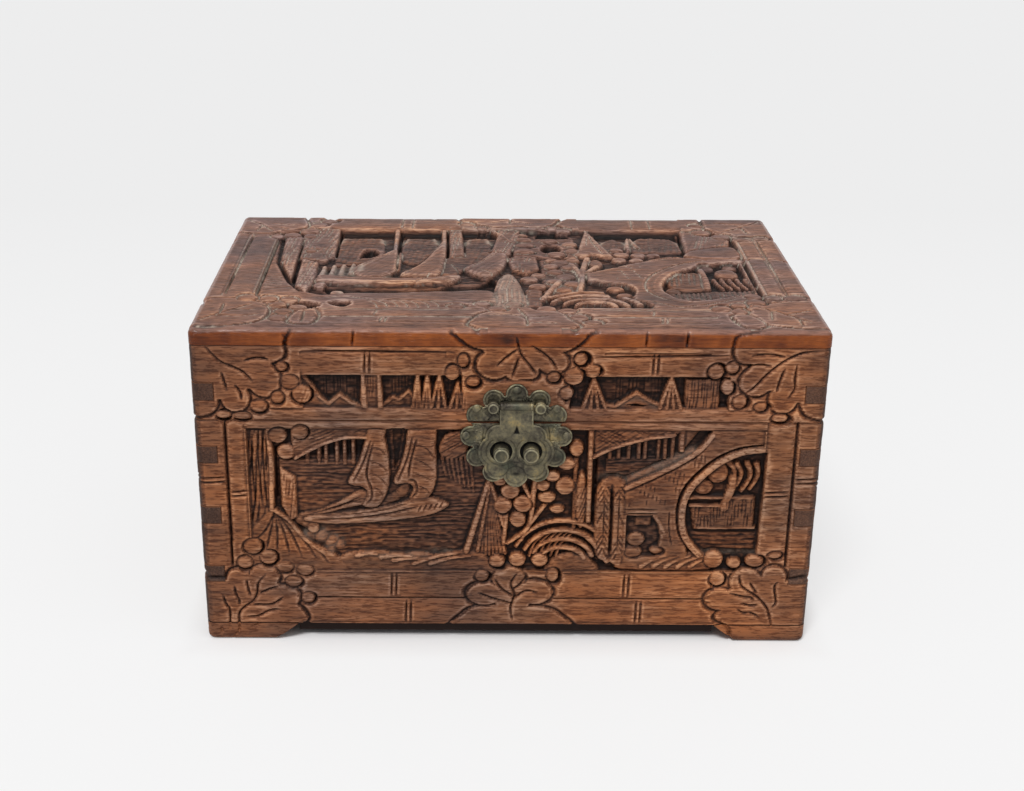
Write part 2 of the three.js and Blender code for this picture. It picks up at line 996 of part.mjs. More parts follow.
function bottomBoard() {
  const z1 = footHeight - glueGap;
  const z0 = z1 - bottomBoardThickness;
  const x = right - bottomBoardInset;
  const y = back - bottomBoardInset;
  const corners = [-1, 1].flatMap((sideX) =>
    [-1, 1].map((sideY) => {
      const xs = [sideX * (right - footLength - glueGap), sideX * right].sort((a, b) => a - b);
      const ys = [sideY * (back - footLength - glueGap), sideY * back].sort((a, b) => a - b);
      return block(...xs, ...ys, z0 - past, z1 + past);
    }),
  );
  return cut(block(-x, x, -y, y, z0, z1), corners);
}

// The slab's upper edge is rounded, by the profiles of its long and short sides
function roundedTop(half) {
  const shape = new THREE.Shape();
  const level = slabTop - slabEdgeRadius;
  shape.moveTo(-half, slabBottom);
  shape.lineTo(half, slabBottom);
  shape.absarc(half - slabEdgeRadius, level, slabEdgeRadius, 0, Math.PI / 2);
  shape.absarc(-half + slabEdgeRadius, level, slabEdgeRadius, Math.PI / 2, Math.PI);
  return shape;
}

function topSlab() {
  const blank = frontPrism(roundedTop(right), -back, back, 4)
    .intersect(sidePrism(roundedTop(back), -right, right, 4))
    .intersect(carcass);
  const standingAt = (depth) => (shape) => levelPrism(shape, slabBottom, slabTop - depth, 10);
  const through = standingAt(-2 * past);
  const patch = ({ x0, x1, y0, y1 }) =>
    outline([
      [x0, y0],
      [x1, y0],
      [x1, y1],
      [x0, y1],
    ]);
  const openings = [topArch, topDoor].map(outline).map(through);
  const bridge = cut(through(outline(topBridge)), openings);
  const corners = [-1, 1].flatMap((sideX) =>
    [-1, 1].map((sideY) =>
      outline(cornerLeaf.map(([run, rise]) => [sideX * (right - run), sideY * (back - rise)])),
    ),
  );
  const frontLeaf = outline(middleLeaf.map(([x, rise]) => [x, rise - back]));
  const shapes = [topHull, ...topSails, topShore, topGrove, topPalm, topStraw, topColumn];
  const tall = [...shapes, topPeak, topRoof, topSheaf, topMast].map(outline);
  const fan = ellipse(topFan.x, topFan.y, topFan.halfWidth, topFan.halfHeight);
  const forms = [
    bridge,
    ...[...tall, ...corners, frontLeaf].map(through),
    ...[...topThickets.map(patch), fan].map(standingAt(slabThicketDepth)),
    ...[...topPanels.map(patch), outline(topScreen)].map(standingAt(slabPanelDepth)),
  ];
  const reach = right - slabEndFrameWidth;
  const y0 = front + slabFrontRailWidth;
  const y1 = back - slabBackRailWidth;
  const levels = [slabTop - slabFieldDepth, slabTop + past];
  const deepLevels = [slabTop - slabRecessDepth, slabTop + past];
  const fields = [
    block(-reach, reach, y0, y1, ...levels),
    levelPrism(outline(topHold), ...deepLevels),
    ...topRecesses.map(({ x0, x1 }) => block(x0, x1, y1 - slabRecessWidth, y1, ...deepLevels)),
  ];
  const hollowLevels = [slabTop - slabHollowDepth, slabTop + past];
  const hollows = topHollows.map(({ x, y, halfWidth, halfHeight }) =>
    levelPrism(ellipse(x, y, halfWidth, halfHeight), ...hollowLevels),
  );
  return cut(blank, [cut(union(fields), forms), ...hollows]);
}

function build() {
  const seat = standing([lockSeat]);
  const mortises = (leaf) => hingeCentres.flatMap((centre) => hingeMortise(centre, leaf));

  const bodyFrontTools = [...bodyLongCarving(-1, [...frontScene(), ...seat]), ...lowerHoles];
  const backScene = frontScene().map((form) => form.mirror([1, 0, 0]));
  const bodyBackTools = [...bodyLongCarving(1, backScene), backBevel(-1), ...mortises(lowerLeaf)];
  place(body, "body_front_board", cut(longBoard(-1, bodyWall), bodyFrontTools), "wood");
  place(body, "body_back_board", cut(longBoard(1, bodyWall), bodyBackTools), "wood");
  place(body, "body_left_board", cut(endBoard(-1, bodyWall), bodyEndCarving(-1)), "wood");
  place(body, "body_right_board", cut(endBoard(1, bodyWall), bodyEndCarving(1)), "wood");
  place(body, "bottom_board", bottomBoard(), "baseWood");
  place(body, "foot_front_left", foot(-1, -1), "wood");
  place(body, "foot_front_right", foot(1, -1), "wood");
  place(body, "foot_back_left", foot(-1, 1), "wood");
  place(body, "foot_back_right", foot(1, 1), "wood");

  const lidFrontTools = [lidLongBand(-1, seat), ...upperHoles];
  const lidBackTools = [lidLongBand(1, []), backBevel(1), ...mortises(upperLeaf)];
  place(lid, "lid_top_board", topSlab(), "wood");
  place(lid, "lid_front_board", cut(longBoard(-1, lidWall), lidFrontTools), "wood");
  place(lid, "lid_back_board", cut(longBoard(1, lidWall), lidBackTools), "wood");
  place(lid, "lid_left_board", endBoard(-1, lidWall).subtract(lidEndBand(-1)), "wood");
  place(lid, "lid_right_board", endBoard(1, lidWall).subtract(lidEndBand(1)), "wood");

  const disc = plateDisc();
  const split = [-beyond, beyond, -beyond, beyond];
  const above = block(...split, lidBottom + plateEdgeSetback, beyond);
  const below = block(...split, -beyond, bodyTop - plateEdgeSetback);
  place(lid, "lock_plate_upper", cut(disc.intersect(above), upperHoles), "brass");
  place(body, "lock_plate_lower", cut(disc.intersect(below), lowerHoles), "brass");
  upperNails.forEach((spot, i) => place(lid, `upper_plate_nail_${i + 1}`, nail(spot), "brass"));
  lowerNails.forEach((spot, i) => place(body, `lower_plate_nail_${i + 1}`, nail(spot), "brass"));
  eyePosts.forEach((spot, i) => place(lid, `hasp_eye_post_${i + 1}`, eyePost(spot), "brass"));
  staplePosts.forEach((spot, i) => place(body, `staple_post_${i + 1}`, staplePost(spot), "brass"));

  const pinReach = eyePostOffset + eyePostRadius + haspPinOverhang;
  const haspPin = rod(
    haspPinRadius,
    lockCentreX - pinReach,
    lockCentreX + pinReach,
    haspAxisY,
    haspAxisZ,
  );
  place(lid, "hasp_pin", haspPin, "brass");
  place(haspGroup, "hasp", hasp(), "brass");

  hingeCentres.forEach((centre, i) => {
    const label = ["left", "right"][i];
    const pin = rod(
      hingePinRadius,
      centre - hingeLength / 2,
      centre + hingeLength / 2,
      hingeAxisY,
      splitLevel,
    );
    place(body, `hinge_${label}_lower_leaf`, hingeLeaf(centre, lowerLeaf), "brass");
    place(lid, `hinge_${label}_upper_leaf`, hingeLeaf(centre, upperLeaf), "brass");
    place(body, `hinge_${label}_pin`, pin, "brass");
    hingeScrews(centre, lowerLeaf, 0).forEach((screw, j) => {
      place(body, `hinge_${label}_lower_screw_${j + 1}`, screw, "brass");
    });
    hingeScrews(centre, upperLeaf, 0).forEach((screw, j) => {
      place(lid, `hinge_${label}_upper_screw_${j + 1}`, screw, "brass");
    });
  });
}

build();

// The staple posts reach furthest forward, and the back boards furthest back
const frontmost = postSeat - staplePostReach;
box.position.y = -(frontmost + back) / 2;

export default box;
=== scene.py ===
"""A carved camphor-wood box with a brass lock plate and hasp, dressed round its CAD frame."""
import math

import bmesh
import bpy
import numpy as np
from mathutils import Matrix, Vector
from mathutils.geometry import delaunay_2d_cdt


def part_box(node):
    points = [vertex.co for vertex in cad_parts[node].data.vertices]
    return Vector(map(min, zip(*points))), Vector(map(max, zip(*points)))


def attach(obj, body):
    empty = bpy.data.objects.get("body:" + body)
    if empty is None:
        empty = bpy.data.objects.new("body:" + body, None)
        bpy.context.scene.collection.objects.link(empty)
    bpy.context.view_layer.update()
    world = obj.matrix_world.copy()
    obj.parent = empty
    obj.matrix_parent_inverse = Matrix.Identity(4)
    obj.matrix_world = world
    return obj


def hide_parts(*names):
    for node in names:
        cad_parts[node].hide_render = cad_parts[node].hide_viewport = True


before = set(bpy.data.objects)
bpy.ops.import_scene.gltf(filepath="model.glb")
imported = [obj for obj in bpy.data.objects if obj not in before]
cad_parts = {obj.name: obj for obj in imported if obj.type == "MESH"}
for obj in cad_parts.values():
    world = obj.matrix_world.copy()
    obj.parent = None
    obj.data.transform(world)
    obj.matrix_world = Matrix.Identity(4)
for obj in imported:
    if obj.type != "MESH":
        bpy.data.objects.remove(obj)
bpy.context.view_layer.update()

# Sizes in millimetres, read from the frame
MM = 0.001


def box_mm(node):
    lo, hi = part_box(node)
    return np.array(lo) / MM, np.array(hi) / MM


def middle_of(node):
    lo, hi = box_mm(node)
    return (lo + hi) / 2


board_lo, board_hi = box_mm("body_front_board")
HALF_W = board_hi[0]
FRONT = board_lo[1]
BACK = box_mm("body_back_board")[1][1]
MID_Y = (FRONT + BACK) / 2
HALF_D = (BACK - FRONT) / 2
WALL = board_hi[1] - board_lo[1]
BODY_Z0, BODY_Z1 = board_lo[2], board_hi[2]
LID_Z0, LID_Z1 = (box[2] for box in box_mm("lid_front_board"))
SLAB_Z0, SLAB_Z1 = (box[2] for box in box_mm("lid_top_board"))
FOOT_TOP = box_mm("foot_front_left")[1][2]
FOOT_LENGTH = box_mm("foot_front_left")[1][0] + HALF_W
SPLIT = (BODY_Z1 + LID_Z0) / 2

# Lock plate, hasp and posts
LOCK_LO, LOCK_HI = box_mm("lock_plate_lower")
LOCK_X = (LOCK_LO[0] + LOCK_HI[0]) / 2
LOCK_REACH = (LOCK_HI[0] - LOCK_LO[0]) / 2
LOCK_Z = LOCK_LO[2] + LOCK_REACH
LOCK_SEAT = LOCK_REACH + 1.6
PLATE_SEAT_GAP = 0.1
LOBES = 12
LOBE_RING = 21.5
LOBE_RADIUS = LOCK_REACH - LOBE_RING
HOLES = [tuple(middle_of(f"staple_post_{k}")[::2]) for k in (1, 2)]
EYES = [tuple(middle_of(f"hasp_eye_post_{k}")[::2]) for k in (1, 2)]
HOLE_CLEARANCE = 1.3
HOLE_RADIUS = (box_mm("staple_post_1")[1][0] - box_mm("staple_post_1")[0][0]) / 2 + HOLE_CLEARANCE
HASP_HI = box_mm("hasp")[1]
HASP_THICKNESS = 1.2
STRAP_HALF = 8
AXIS = middle_of("hasp_pin")
BARREL_RADIUS = HASP_HI[2] - AXIS[2]
NAIL_HEIGHT = 0.9
KNUCKLE_ROOM = 2.3
LEAF_DEPTH = 1.0

# Joints, roundings, the foot's sweep and the hinges' seat, as the frame has them
FIT = 0.2
TENON_HEIGHT = 8.5
BODY_TENONS = [BODY_Z0 + rise for rise in (23.5, 55.75, 88)]
LID_TENONS = [LID_Z0 + 10.1]
CORNER_RADIUS = 4
SLAB_RADIUS = 3.5
FOOT_TOE = 33
FOOT_BEND_RUN, FOOT_BEND_RISE = 5, 2.6
FOOT_EDGE = 3
HINGE_INSET = 3
STOP_BEVEL = 48

# Fineness of the carved surfaces
GRID = 0.6
FOOT_GRID = 0.5
SHEET_GRID = 0.36
ARC_STEPS = 6
LATTICE = 64

# Tool cuts, as shares of the pitch and depth asked for
FINEST_PITCH = 1.5
PITCH_SHARE, DEPTH_SHARE = 0.74, 0.6


class Shape:
    """A flat shape: its bounds, and its signed distance, which is negative inside."""

    def __init__(self, bounds, distance):
        self.bounds = bounds
        self.distance = distance


def curve(points, closed=False, steps=6):
    """A smooth line through the points."""
    pts = [np.array(p, float) for p in points]
    count = len(pts)
    out = []
    for i in range(count if closed else count - 1):
        if closed:
            p0, p1, p2, p3 = (pts[(i + k) % count] for k in (-1, 0, 1, 2))
        else:
            p0, p1, p2, p3 = (pts[min(max(i + k, 0), count - 1)] for k in (-1, 0, 1, 2))
        for k in range(steps):
            t = k / steps
            out.append(0.5 * (2 * p1 + (p2 - p0) * t + (2 * p0 - 5 * p1 + 4 * p2 - p3) * t * t
                              + (3 * p1 - p0 - 3 * p2 + p3) * t ** 3))
    if not closed:
        out.append(pts[-1])
    return out


def line_of(points, smooth):
    return curve(points) if smooth and len(points) > 2 else [np.array(p, float) for p in points]


def bounds_of(points, margin=0.0):
    array = np.array(points, float)
    return (*(array.min(0) - margin), *(array.max(0) + margin))


def nearest(a, b, start, end):
    """The nearest place on a segment, as a share of its length, and the squared distance to it."""
    (x0, y0), (x1, y1) = start, end
    ex, ey = x1 - x0, y1 - y0
    t = np.clip(((a - x0) * ex + (b - y0) * ey) / (ex * ex + ey * ey + 1e-9), 0, 1)
    return t, (a - x0 - t * ex) ** 2 + (b - y0 - t * ey) ** 2


def polygon(points):
    pts = [tuple(map(float, p)) for p in points]

    def distance(a, b):
        best = np.full(np.broadcast(a, b).shape, 1e9)
        inside = np.zeros(best.shape, bool)
        for start, end in zip(pts, pts[1:] + pts[:1]):
            best = np.minimum(best, nearest(a, b, start, end)[1])
            (x0, y0), (x1, y1) = start, end
            if abs(y1 - y0) > 1e-9:
                inside ^= ((y0 > b) != (y1 > b)) & (a < (x1 - x0) * (b - y0) / (y1 - y0) + x0)
        return np.where(inside, -1, 1) * np.sqrt(best)

    return Shape(bounds_of(pts), distance)


def blob(points):
    """A polygon with its corners drawn as one smooth outline."""
    return polygon(curve(points, closed=True, steps=4))


def rect(x0, x1, y0, y1):
    return polygon([(x0, y0), (x1, y0), (x1, y1), (x0, y1)])


def disc(x, y, rx, ry=None):
    ry = rx if ry is None else ry

    def distance(a, b):
        q = np.sqrt(((a - x) / rx) ** 2 + ((b - y) / ry) ** 2)
        return (q - 1) * min(rx, ry)

    return Shape((x - rx, y - ry, x + rx, y + ry), distance)


def stroke(points, width, tip=None, smooth=True):
    """A line of a given width, which tapers to tip at its far end."""
    tip = width if tip is None else tip
    pts = line_of(points, smooth)
    last = len(pts) - 1

    def distance(a, b):
        best = np.full(np.broadcast(a, b).shape, 1e9)
        for i in range(last):
            t, squared = nearest(a, b, pts[i], pts[i + 1])
            half = (width + (tip - width) * (i + t) / last) / 2
            best = np.minimum(best, np.sqrt(squared) - half)
        return best

    return Shape(bounds_of(pts, max(width, tip) / 2), distance)


def half_plane(level, above):
    sign = -1 if above else 1
    return Shape((-1e3, -1e3, 1e3, 1e3), lambda a, b: sign * (b - level) + 0 * a)


def both(first, second):
    return Shape(first.bounds, lambda a, b: np.maximum(first.distance(a, b), second.distance(a, b)))


def minus(shape, *holes):
    def distance(a, b):
        return np.maximum.reduce([shape.distance(a, b), *(-hole.distance(a, b) for hole in holes)])

    return Shape(shape.bounds, distance)


def joined(shapes):
    boxes = np.array([s.bounds for s in shapes])
    lo, hi = boxes[:, :2].min(0), boxes[:, 2:].max(0)

    def distance(a, b):
        return np.minimum.reduce([s.distance(a, b) for s in shapes])

    return Shape((*lo, *hi), distance)


def smoothstep(x):
    x = np.clip(x, 0, 1)
    return x * x * (3 - 2 * x)


def rough(a, b, size_a, size_b, seed):
    """Smooth noise from -1 to 1, with cells of the given size."""
    lattice = np.random.default_rng(seed).uniform(-1, 1, (LATTICE, LATTICE))
    u, v = np.broadcast_arrays(a / size_a, b / size_b)
    i, j = np.floor(u).astype(int), np.floor(v).astype(int)
    fu, fv = smoothstep(u - i), smoothstep(v - j)
    corner = lambda di, dj: lattice[(i + di) % LATTICE, (j + dj) % LATTICE]
    low = corner(0, 0) * (1 - fu) + corner(1, 0) * fu
    high = corner(0, 1) * (1 - fu) + corner(1, 1) * fu
    return low * (1 - fv) + high * fv


class Relief:
    """Depth below a face in millimetres, on a grid with axes a, to the right, and b, up."""

    def __init__(self, a, b):
        self.a, self.b = np.asarray(a, float), np.asarray(b, float)
        self.depth = np.zeros((len(self.a), len(self.b)))
        self.dust = np.zeros_like(self.depth)

    def part(self, low, high, shift=0.0, mirror=False):
        """The columns from low to high as a face of their own, whose a-axis is shifted or mirrored."""
        i0, i1 = np.searchsorted(self.a, (low, high))
        step = -1 if mirror else 1
        view = Relief.__new__(Relief)
        view.a = (self.a[i0:i1] + shift)[::step] * step
        view.b = self.b
        view.depth, view.dust = (field[i0:i1][::step] for field in (self.depth, self.dust))
        return view

    def window(self, bounds, margin=1.5):
        i0, i1 = np.searchsorted(self.a, (bounds[0] - margin, bounds[2] + margin))
        j0, j1 = np.searchsorted(self.b, (bounds[1] - margin, bounds[3] + margin))
        return (slice(i0, i1), slice(j0, j1)), self.a[i0:i1, None], self.b[None, j0:j1]

    def sink(self, shape, floor, wall=3.5):
        """Lowers the inside to a floor, with steep walls."""
        at, a, b = self.window(shape.bounds)
        if self.depth[at].size:
            depth = np.clip(-shape.distance(a, b) * wall, 0, floor)
            self.depth[at] = np.maximum(self.depth[at], depth)

    def lift(self, shape, top, drop=0.7, edge=1.6, wall=4.0):
        """Leaves a form standing: flat at its top level, falling by drop over its edge."""
        at, a, b = self.window(shape.bounds)
        if self.depth[at].size:
            inside = -shape.distance(a, b)
            over = 1 - np.clip(inside / edge, 0, 1)
            depth = top + drop * over ** 2 + np.where(inside < 0, -inside * wall, 0)
            self.depth[at] = np.minimum(self.depth[at], depth)

    def dome(self, x, y, rx, ry=None, top=0.3, drop=1.7):
        """A round fruit, with a crowned top."""
        ry = rx if ry is None else ry
        shape = disc(x, y, rx, ry)
        at, a, b = self.window(shape.bounds)
        if self.depth[at].size:
            q = np.sqrt(((a - x) / rx) ** 2 + ((b - y) / ry) ** 2)
            depth = top + drop * (1 - np.sqrt(np.clip(1 - (0.93 * q) ** 3, 0, 1)))
            depth = depth + np.clip(q - 1, 0, None) * min(rx, ry) * 5
            self.depth[at] = np.minimum(self.depth[at], depth)

    def cut(self, points, width, deep, taper=True, smooth=True):
        """A V cut along a line, which runs out at both ends."""
        pts = line_of(points, smooth)
        at, a, b = self.window(bounds_of(pts, width))
        if not self.depth[at].size:
            return
        last = len(pts) - 1
        added = np.zeros(self.depth[at].shape)
        for i in range(last):
            t, squared = nearest(a, b, pts[i], pts[i + 1])
            along = (i + t) / last
            scale = np.minimum(1, 4 * np.minimum(along, 1 - along) + 0.25) if taper else 1
            added = np.maximum(added, deep * scale * np.clip(1 - np.sqrt(squared) / (width / 2), 0, 1))
        self.depth[at] += added

    def hatch(self, shape, angle, pitch, deep, seed=1, sharp=2.0, wander=0.35):
        """Parallel tool cuts inside a shape, at an angle in degrees."""
        at, a, b = self.window(shape.bounds, 0)
        if not self.depth[at].size:
            return
        pitch, deep = max(FINEST_PITCH, PITCH_SHARE * pitch), DEPTH_SHARE * deep
        c, s = math.cos(math.radians(angle)), math.sin(math.radians(angle))
        across = -a * s + b * c
        along = a * c + b * s
        phase = across / pitch + wander * rough(along, across, 7 * pitch, 2.5 * pitch, seed)
        wave = (0.5 + 0.5 * np.cos(2 * math.pi * phase)) ** sharp
        broken = smoothstep(0.7 + 1.4 * rough(along, across, 4 * pitch, 1.3 * pitch, seed + 9))
        self.depth[at] += deep * wave * broken * smoothstep(-shape.distance(a, b) / 0.6)

    def powder(self, shape, amount, soft=1.5):
        """Pale dust that has settled in a shape."""
        at, a, b = self.window(shape.bounds, soft)
        if self.depth[at].size:
            near = amount * smoothstep(0.5 - shape.distance(a, b) / (2 * soft))
            self.dust[at] = np.maximum(self.dust[at], near)


# Stems, leaves and fruit of the frame
LOBE_BLEND = 3.0
LEAF_MOAT, SLAB_LEAF_MOAT = 1.8, 2
FRUIT_GROUND = 3.2


def stem(face, x0, x1, y0, y1, crown=0.9, nodes=()):
    """A bamboo stem: a bar with a crowned section and paired cuts at its nodes."""
    upright = y1 - y0 > x1 - x0
    at, a, b = face.window((x0, y0, x1, y1), 0)
    if not face.depth[at].size:
        return
    t = 2 * (a - x0) / (x1 - x0) - 1 if upright else 2 * (b - y0) / (y1 - y0) - 1
    depth = crown * np.abs(t) ** 3.5
    face.depth[at] = np.maximum(face.depth[at], np.broadcast_to(depth, face.depth[at].shape))
    for node in nodes:
        for offset in (-1.15, 1.15):
            if upright:
                line = [(x0 + 0.8, node + offset - 0.3), (x1 - 0.8, node + offset + 0.3)]
            else:
                line = [(node + offset, y0 + 0.8), (node + offset + 0.4, y1 - 0.8)]
            face.cut(line, 1.5, 1.5, smooth=False)


def leaf(face, lobes, veins, moat):
    """A lobed leaf that overlies the frame in a moat of its own, with its veins cut in."""
    shape = joined(lobes)
    at, a, b = face.window(shape.bounds, 3)
    if not face.depth[at].size:
        return
    away = shape.distance(a, b)
    ditch = moat * (1 - smoothstep(away / 2.7)) * (away > -0.5)
    face.depth[at] = np.maximum(face.depth[at], ditch)
    merged = -LOBE_BLEND * np.log(sum(np.exp(-lobe.distance(a, b) / LOBE_BLEND) for lobe in lobes))
    inner = away + (merged - away) * smoothstep(-away / 0.8)
    swell = 0.9 * (1 - smoothstep(-inner / 3.0))
    lobe_dips = 0.18 * rough(a, b, 4.5, 3.0, 5)
    depth = swell + lobe_dips + np.where(away > 0, away * 4.5, 0)
    face.depth[at] = np.minimum(face.depth[at], np.maximum(depth, 0))
    for vein in veins:
        face.cut(vein, 3.4, 0.45)
        face.cut(vein, 1.3, 1.3)


def fruit(face, spots, top=0.35):
    """A bunch of round fruit on a lowered ground, whose edge wanders."""
    for k, (x, y, rx, *ry) in enumerate(spots):
        wide = 1.6 + 0.8 * math.sin(2.3 * k + x)
        tall = 1.6 + 0.8 * math.cos(1.7 * k + y)
        ground = disc(x + 0.4 * wide, y - 0.5, rx + wide, (ry or [rx])[0] + tall)
        face.sink(ground, top + FRUIT_GROUND, wall=1.7)
    for spot in spots:
        face.dome(*spot, top=top)


def cluster(face, lobes, veins, spots=(), top=0.35, moat=LEAF_MOAT):
    """A leaf, and its fruit where it has any."""
    leaf(face, lobes, veins, moat)
    fruit(face, spots, top)


# Clusters of the front: a leaf's lobes and veins, and the spots of its fruit, as centres and radii
TOP_LEFT = dict(
    lobes=[
        blob([(-158, 172), (-158, 150), (-133, 144), (-122, 147), (-112, 148.5), (-105.5, 152),
              (-105.5, 159), (-106.5, 172)]),
        disc(-115.3, 140, 8, 8.5),
        disc(-129.3, 131, 6.9, 7.4),
        blob([(-158, 152), (-158, 122), (-144, 121.8), (-138, 126), (-136, 134), (-124, 146)]),
        polygon([(-150, 152), (-112, 151), (-110, 142), (-116, 134), (-123, 135.5), (-129, 126),
                 (-135, 130), (-150, 130)]),
    ],
    veins=[
        [(-142, 157), (-136, 150), (-130, 147), (-125, 144.3), (-120.5, 139.5)],
        [(-135, 144), (-134, 139.5), (-133, 135)],
        [(-129, 137.5), (-126.8, 134), (-126.3, 130.5)],
        [(-124, 150), (-118, 151.5), (-113, 150.5)],
    ],
    spots=[
        (-107, 147, 2.7), (-103.5, 139.5, 4.5, 4), (-98, 133, 4.6), (-109.5, 131.5, 3.3),
        (-118.5, 127, 4.3, 3.5), (-126.5, 121.8, 4.5, 2.2), (-135.5, 122.3, 3.7, 2),
    ],
)
TOP_RIGHT = dict(
    lobes=[
        blob([(158, 168), (112, 165), (104.5, 158), (106.5, 150.5), (116, 148.5), (128, 143),
              (158, 138)]),
        disc(115.5, 140.3, 7.8, 7.2),
        disc(129, 132, 7, 7.6),
        blob([(158, 150), (158, 122.5), (143, 122.3), (138, 126.5), (134.5, 136), (120, 146)]),
        polygon([(150, 152), (114, 151), (110, 143), (117, 135.5), (123.5, 136), (129, 127),
                 (135, 130), (150, 130)]),
    ],
    veins=[
        [(146, 156.3), (136, 155), (128, 151), (121, 145), (115, 138), (111, 135)],
        [(128, 153.2), (121, 154.4), (113, 153.8)],
        [(122, 148.6), (116, 149.2), (111, 148.2)],
        [(128.5, 147), (126.6, 141), (125.6, 136)],
        [(134, 149), (133.7, 142), (133.9, 137), (131.5, 133)],
    ],
    spots=[
        (96.5, 145.3, 3.8), (104, 147.5, 3.2), (102.5, 137.5, 3, 3.8), (108.5, 130.5, 3.5, 3.8),
        (118.5, 128, 3.2, 2.8), (128, 122, 4, 2.3),
    ],
)
LOW_LEFT = dict(
    lobes=[
        blob([(-158, -4), (-158, 30), (-138, 34), (-129, 30), (-118, 30), (-104, 20), (-99, 12),
              (-104, 7), (-112, -4)]),
        disc(-132.5, 34, 6.2, 6.3),
        disc(-120, 35.5, 7.8, 6.6),
        disc(-111, 24, 8.6, 6.9),
        polygon([(-137, 22), (-135, 35), (-127, 33), (-120, 38), (-114, 33), (-108, 26), (-110, 16)]),
    ],
    veins=[
        [(-138, 1), (-134, 5), (-133.5, 14), (-131, 18), (-126, 22), (-124, 26), (-123, 32), (-119.5, 36.5)],
        [(-122.5, 26.3), (-118, 28.5), (-113.5, 30)],
        [(-135, 30), (-134.5, 26), (-133, 22), (-133, 20)],
        [(-128.8, 33.5), (-128.3, 29), (-127.3, 25.2)],
        [(-141, 25), (-139.5, 19.5), (-138, 16.5), (-138.5, 5)],
        [(-126, 20), (-117, 20), (-111, 24)],
        [(-129, 13), (-124, 13.3), (-118, 16.5), (-113, 17.2)],
        [(-127, 7.5), (-123, 9)],
        [(-142.5, 7), (-143, 3)],
    ],
    spots=[
        (-125, 52.3, 4.6), (-129.3, 43.3, 4.2, 3.5), (-117.5, 46, 4.2, 3.9), (-109.5, 41, 4.2, 3.4),
        (-99.7, 39.5, 4.3, 3.4), (-105.8, 33, 4.4, 3.5), (-98.7, 24, 3.3, 3.6),
    ],
)
LOW_RIGHT = dict(
    lobes=[
        blob([(158, -4), (158, 34), (134, 34), (126, 32), (117, 30), (108, 20), (104, 13),
              (112, 8), (118, -4)]),
        disc(118.5, 34, 8.2, 7.3),
        disc(106, 24, 7.6, 6.3),
        disc(132, 36, 6.4, 7),
        polygon([(136, 22), (133, 37), (125.5, 33.5), (119, 37), (112, 31), (106, 26), (110, 16)]),
    ],
    veins=[
        [(133, 9), (131.7, 14), (129.5, 20), (124, 26), (117, 31), (115.3, 35), (115, 38)],
        [(124, 28), (122, 31), (120.5, 33.5)],
        [(134, 34), (132.8, 31), (133.8, 25), (134, 22), (132.5, 20)],
        [(111, 27.5), (117, 25.7), (121, 25.3), (123, 24)],
        [(117, 22), (121, 20.7), (125, 21)],
        [(115.5, 18.3), (118, 16.5), (122, 16.5), (126.5, 14)],
    ],
    spots=[
        (101.5, 46, 4.7), (111.8, 44, 3.3, 2.7), (122, 45.3, 4.4, 3.3), (131.5, 49, 3.7, 2.4),
        (104, 35.5, 4),
    ],
)
TOP_MIDDLE = dict(
    lobes=[
        blob([(-23, 168), (-22, 160), (-14, 156), (0, 154), (20, 154), (30, 157), (36, 163),
              (35, 168)]),
        disc(-7.5, 148.3, 8.4, 7.3),
        blob([(-2, 156), (-3, 145), (1, 140.5), (6, 141), (12, 141.5), (14, 146), (12, 156)]),
        disc(20, 149.8, 7.6, 6),
        polygon([(-14, 158), (-8, 146), (-1.5, 147.5), (5, 143), (11, 147.5), (20, 147), (24, 158)]),
    ],
    veins=[
        [(3, 162), (5, 154), (9.5, 148), (12.5, 143.5)],
        [(10, 158), (16, 154), (20, 150), (22, 146)],
        [(3, 156), (-2, 152), (-6, 148)],
        [(4, 152), (2.5, 147), (1, 142.5)],
    ],
    spots=[
        (-27, 144.3, 3.6, 3.9), (-22, 150.5, 2.9, 3.6), (-17.3, 139.8, 3.4, 2.6), (33, 151.3, 3.1),
        (30, 142.5, 4.5, 4.4), (39, 145.6, 3.4, 3.7), (20.5, 142.3, 3, 2.7), (26.5, 134, 3.5, 3.3),
    ],
)
LOW_MIDDLE = dict(
    lobes=[
        blob([(-26, 5), (-22, 15), (-14, 19.5), (4, 20), (19, 19), (27, 15), (31, 5)]),
        disc(1, 34.5, 8.2, 7),
        disc(-11, 26.5, 9, 6.6),
        disc(14, 27.5, 8.8, 7),
        disc(3, 23, 9, 8),
    ],
    veins=[
        [(3, 12), (2, 19), (4, 26), (2, 32), (5, 38)],
        [(3.5, 25), (-3, 30), (-6, 35)],
        [(3, 21), (-7, 24), (-14, 27)],
        [(3, 23.5), (9, 28), (15, 27.5)],
        [(3, 29), (6.5, 32), (9.5, 36)],
    ],
    spots=[
        (-5, 44.5, 3.9, 3.3), (5, 45.3, 4, 3.6), (16, 45, 3.9, 3.5), (-12.5, 36.5, 3.5, 3.4),
        (22.5, 37, 3, 3.8),
    ],
)

CORNER_CLUSTERS = (TOP_LEFT, TOP_RIGHT, LOW_LEFT, LOW_RIGHT)
MIDDLE_CLUSTERS = (TOP_MIDDLE, LOW_MIDDLE)


# Figures of the scenes

def sail(face, outline, ribs, battens, top=0.4):
    shape = blob(outline)
    face.lift(shape, top, drop=0.9, edge=2.5)
    for rib in ribs:
        face.cut(rib, 1.5, 1.3)
    for batten in battens:
        face.cut(batten, 0.9, 0.6)
    face.hatch(shape, 0, 1.5, 0.14, seed=3)


def water(face, shape, top, pitch=2.6, seed=4):
    face.lift(shape, top, drop=0.3)
    face.hatch(shape, 0, pitch, 0.75, seed=seed, sharp=1.6, wander=0.6)


def bridge_posts(face, places, low, top=2.3, width=1.5):
    for x, high in places:
        face.lift(rect(x - width / 2, x + width / 2, low, high), top, drop=0.5, edge=0.7)


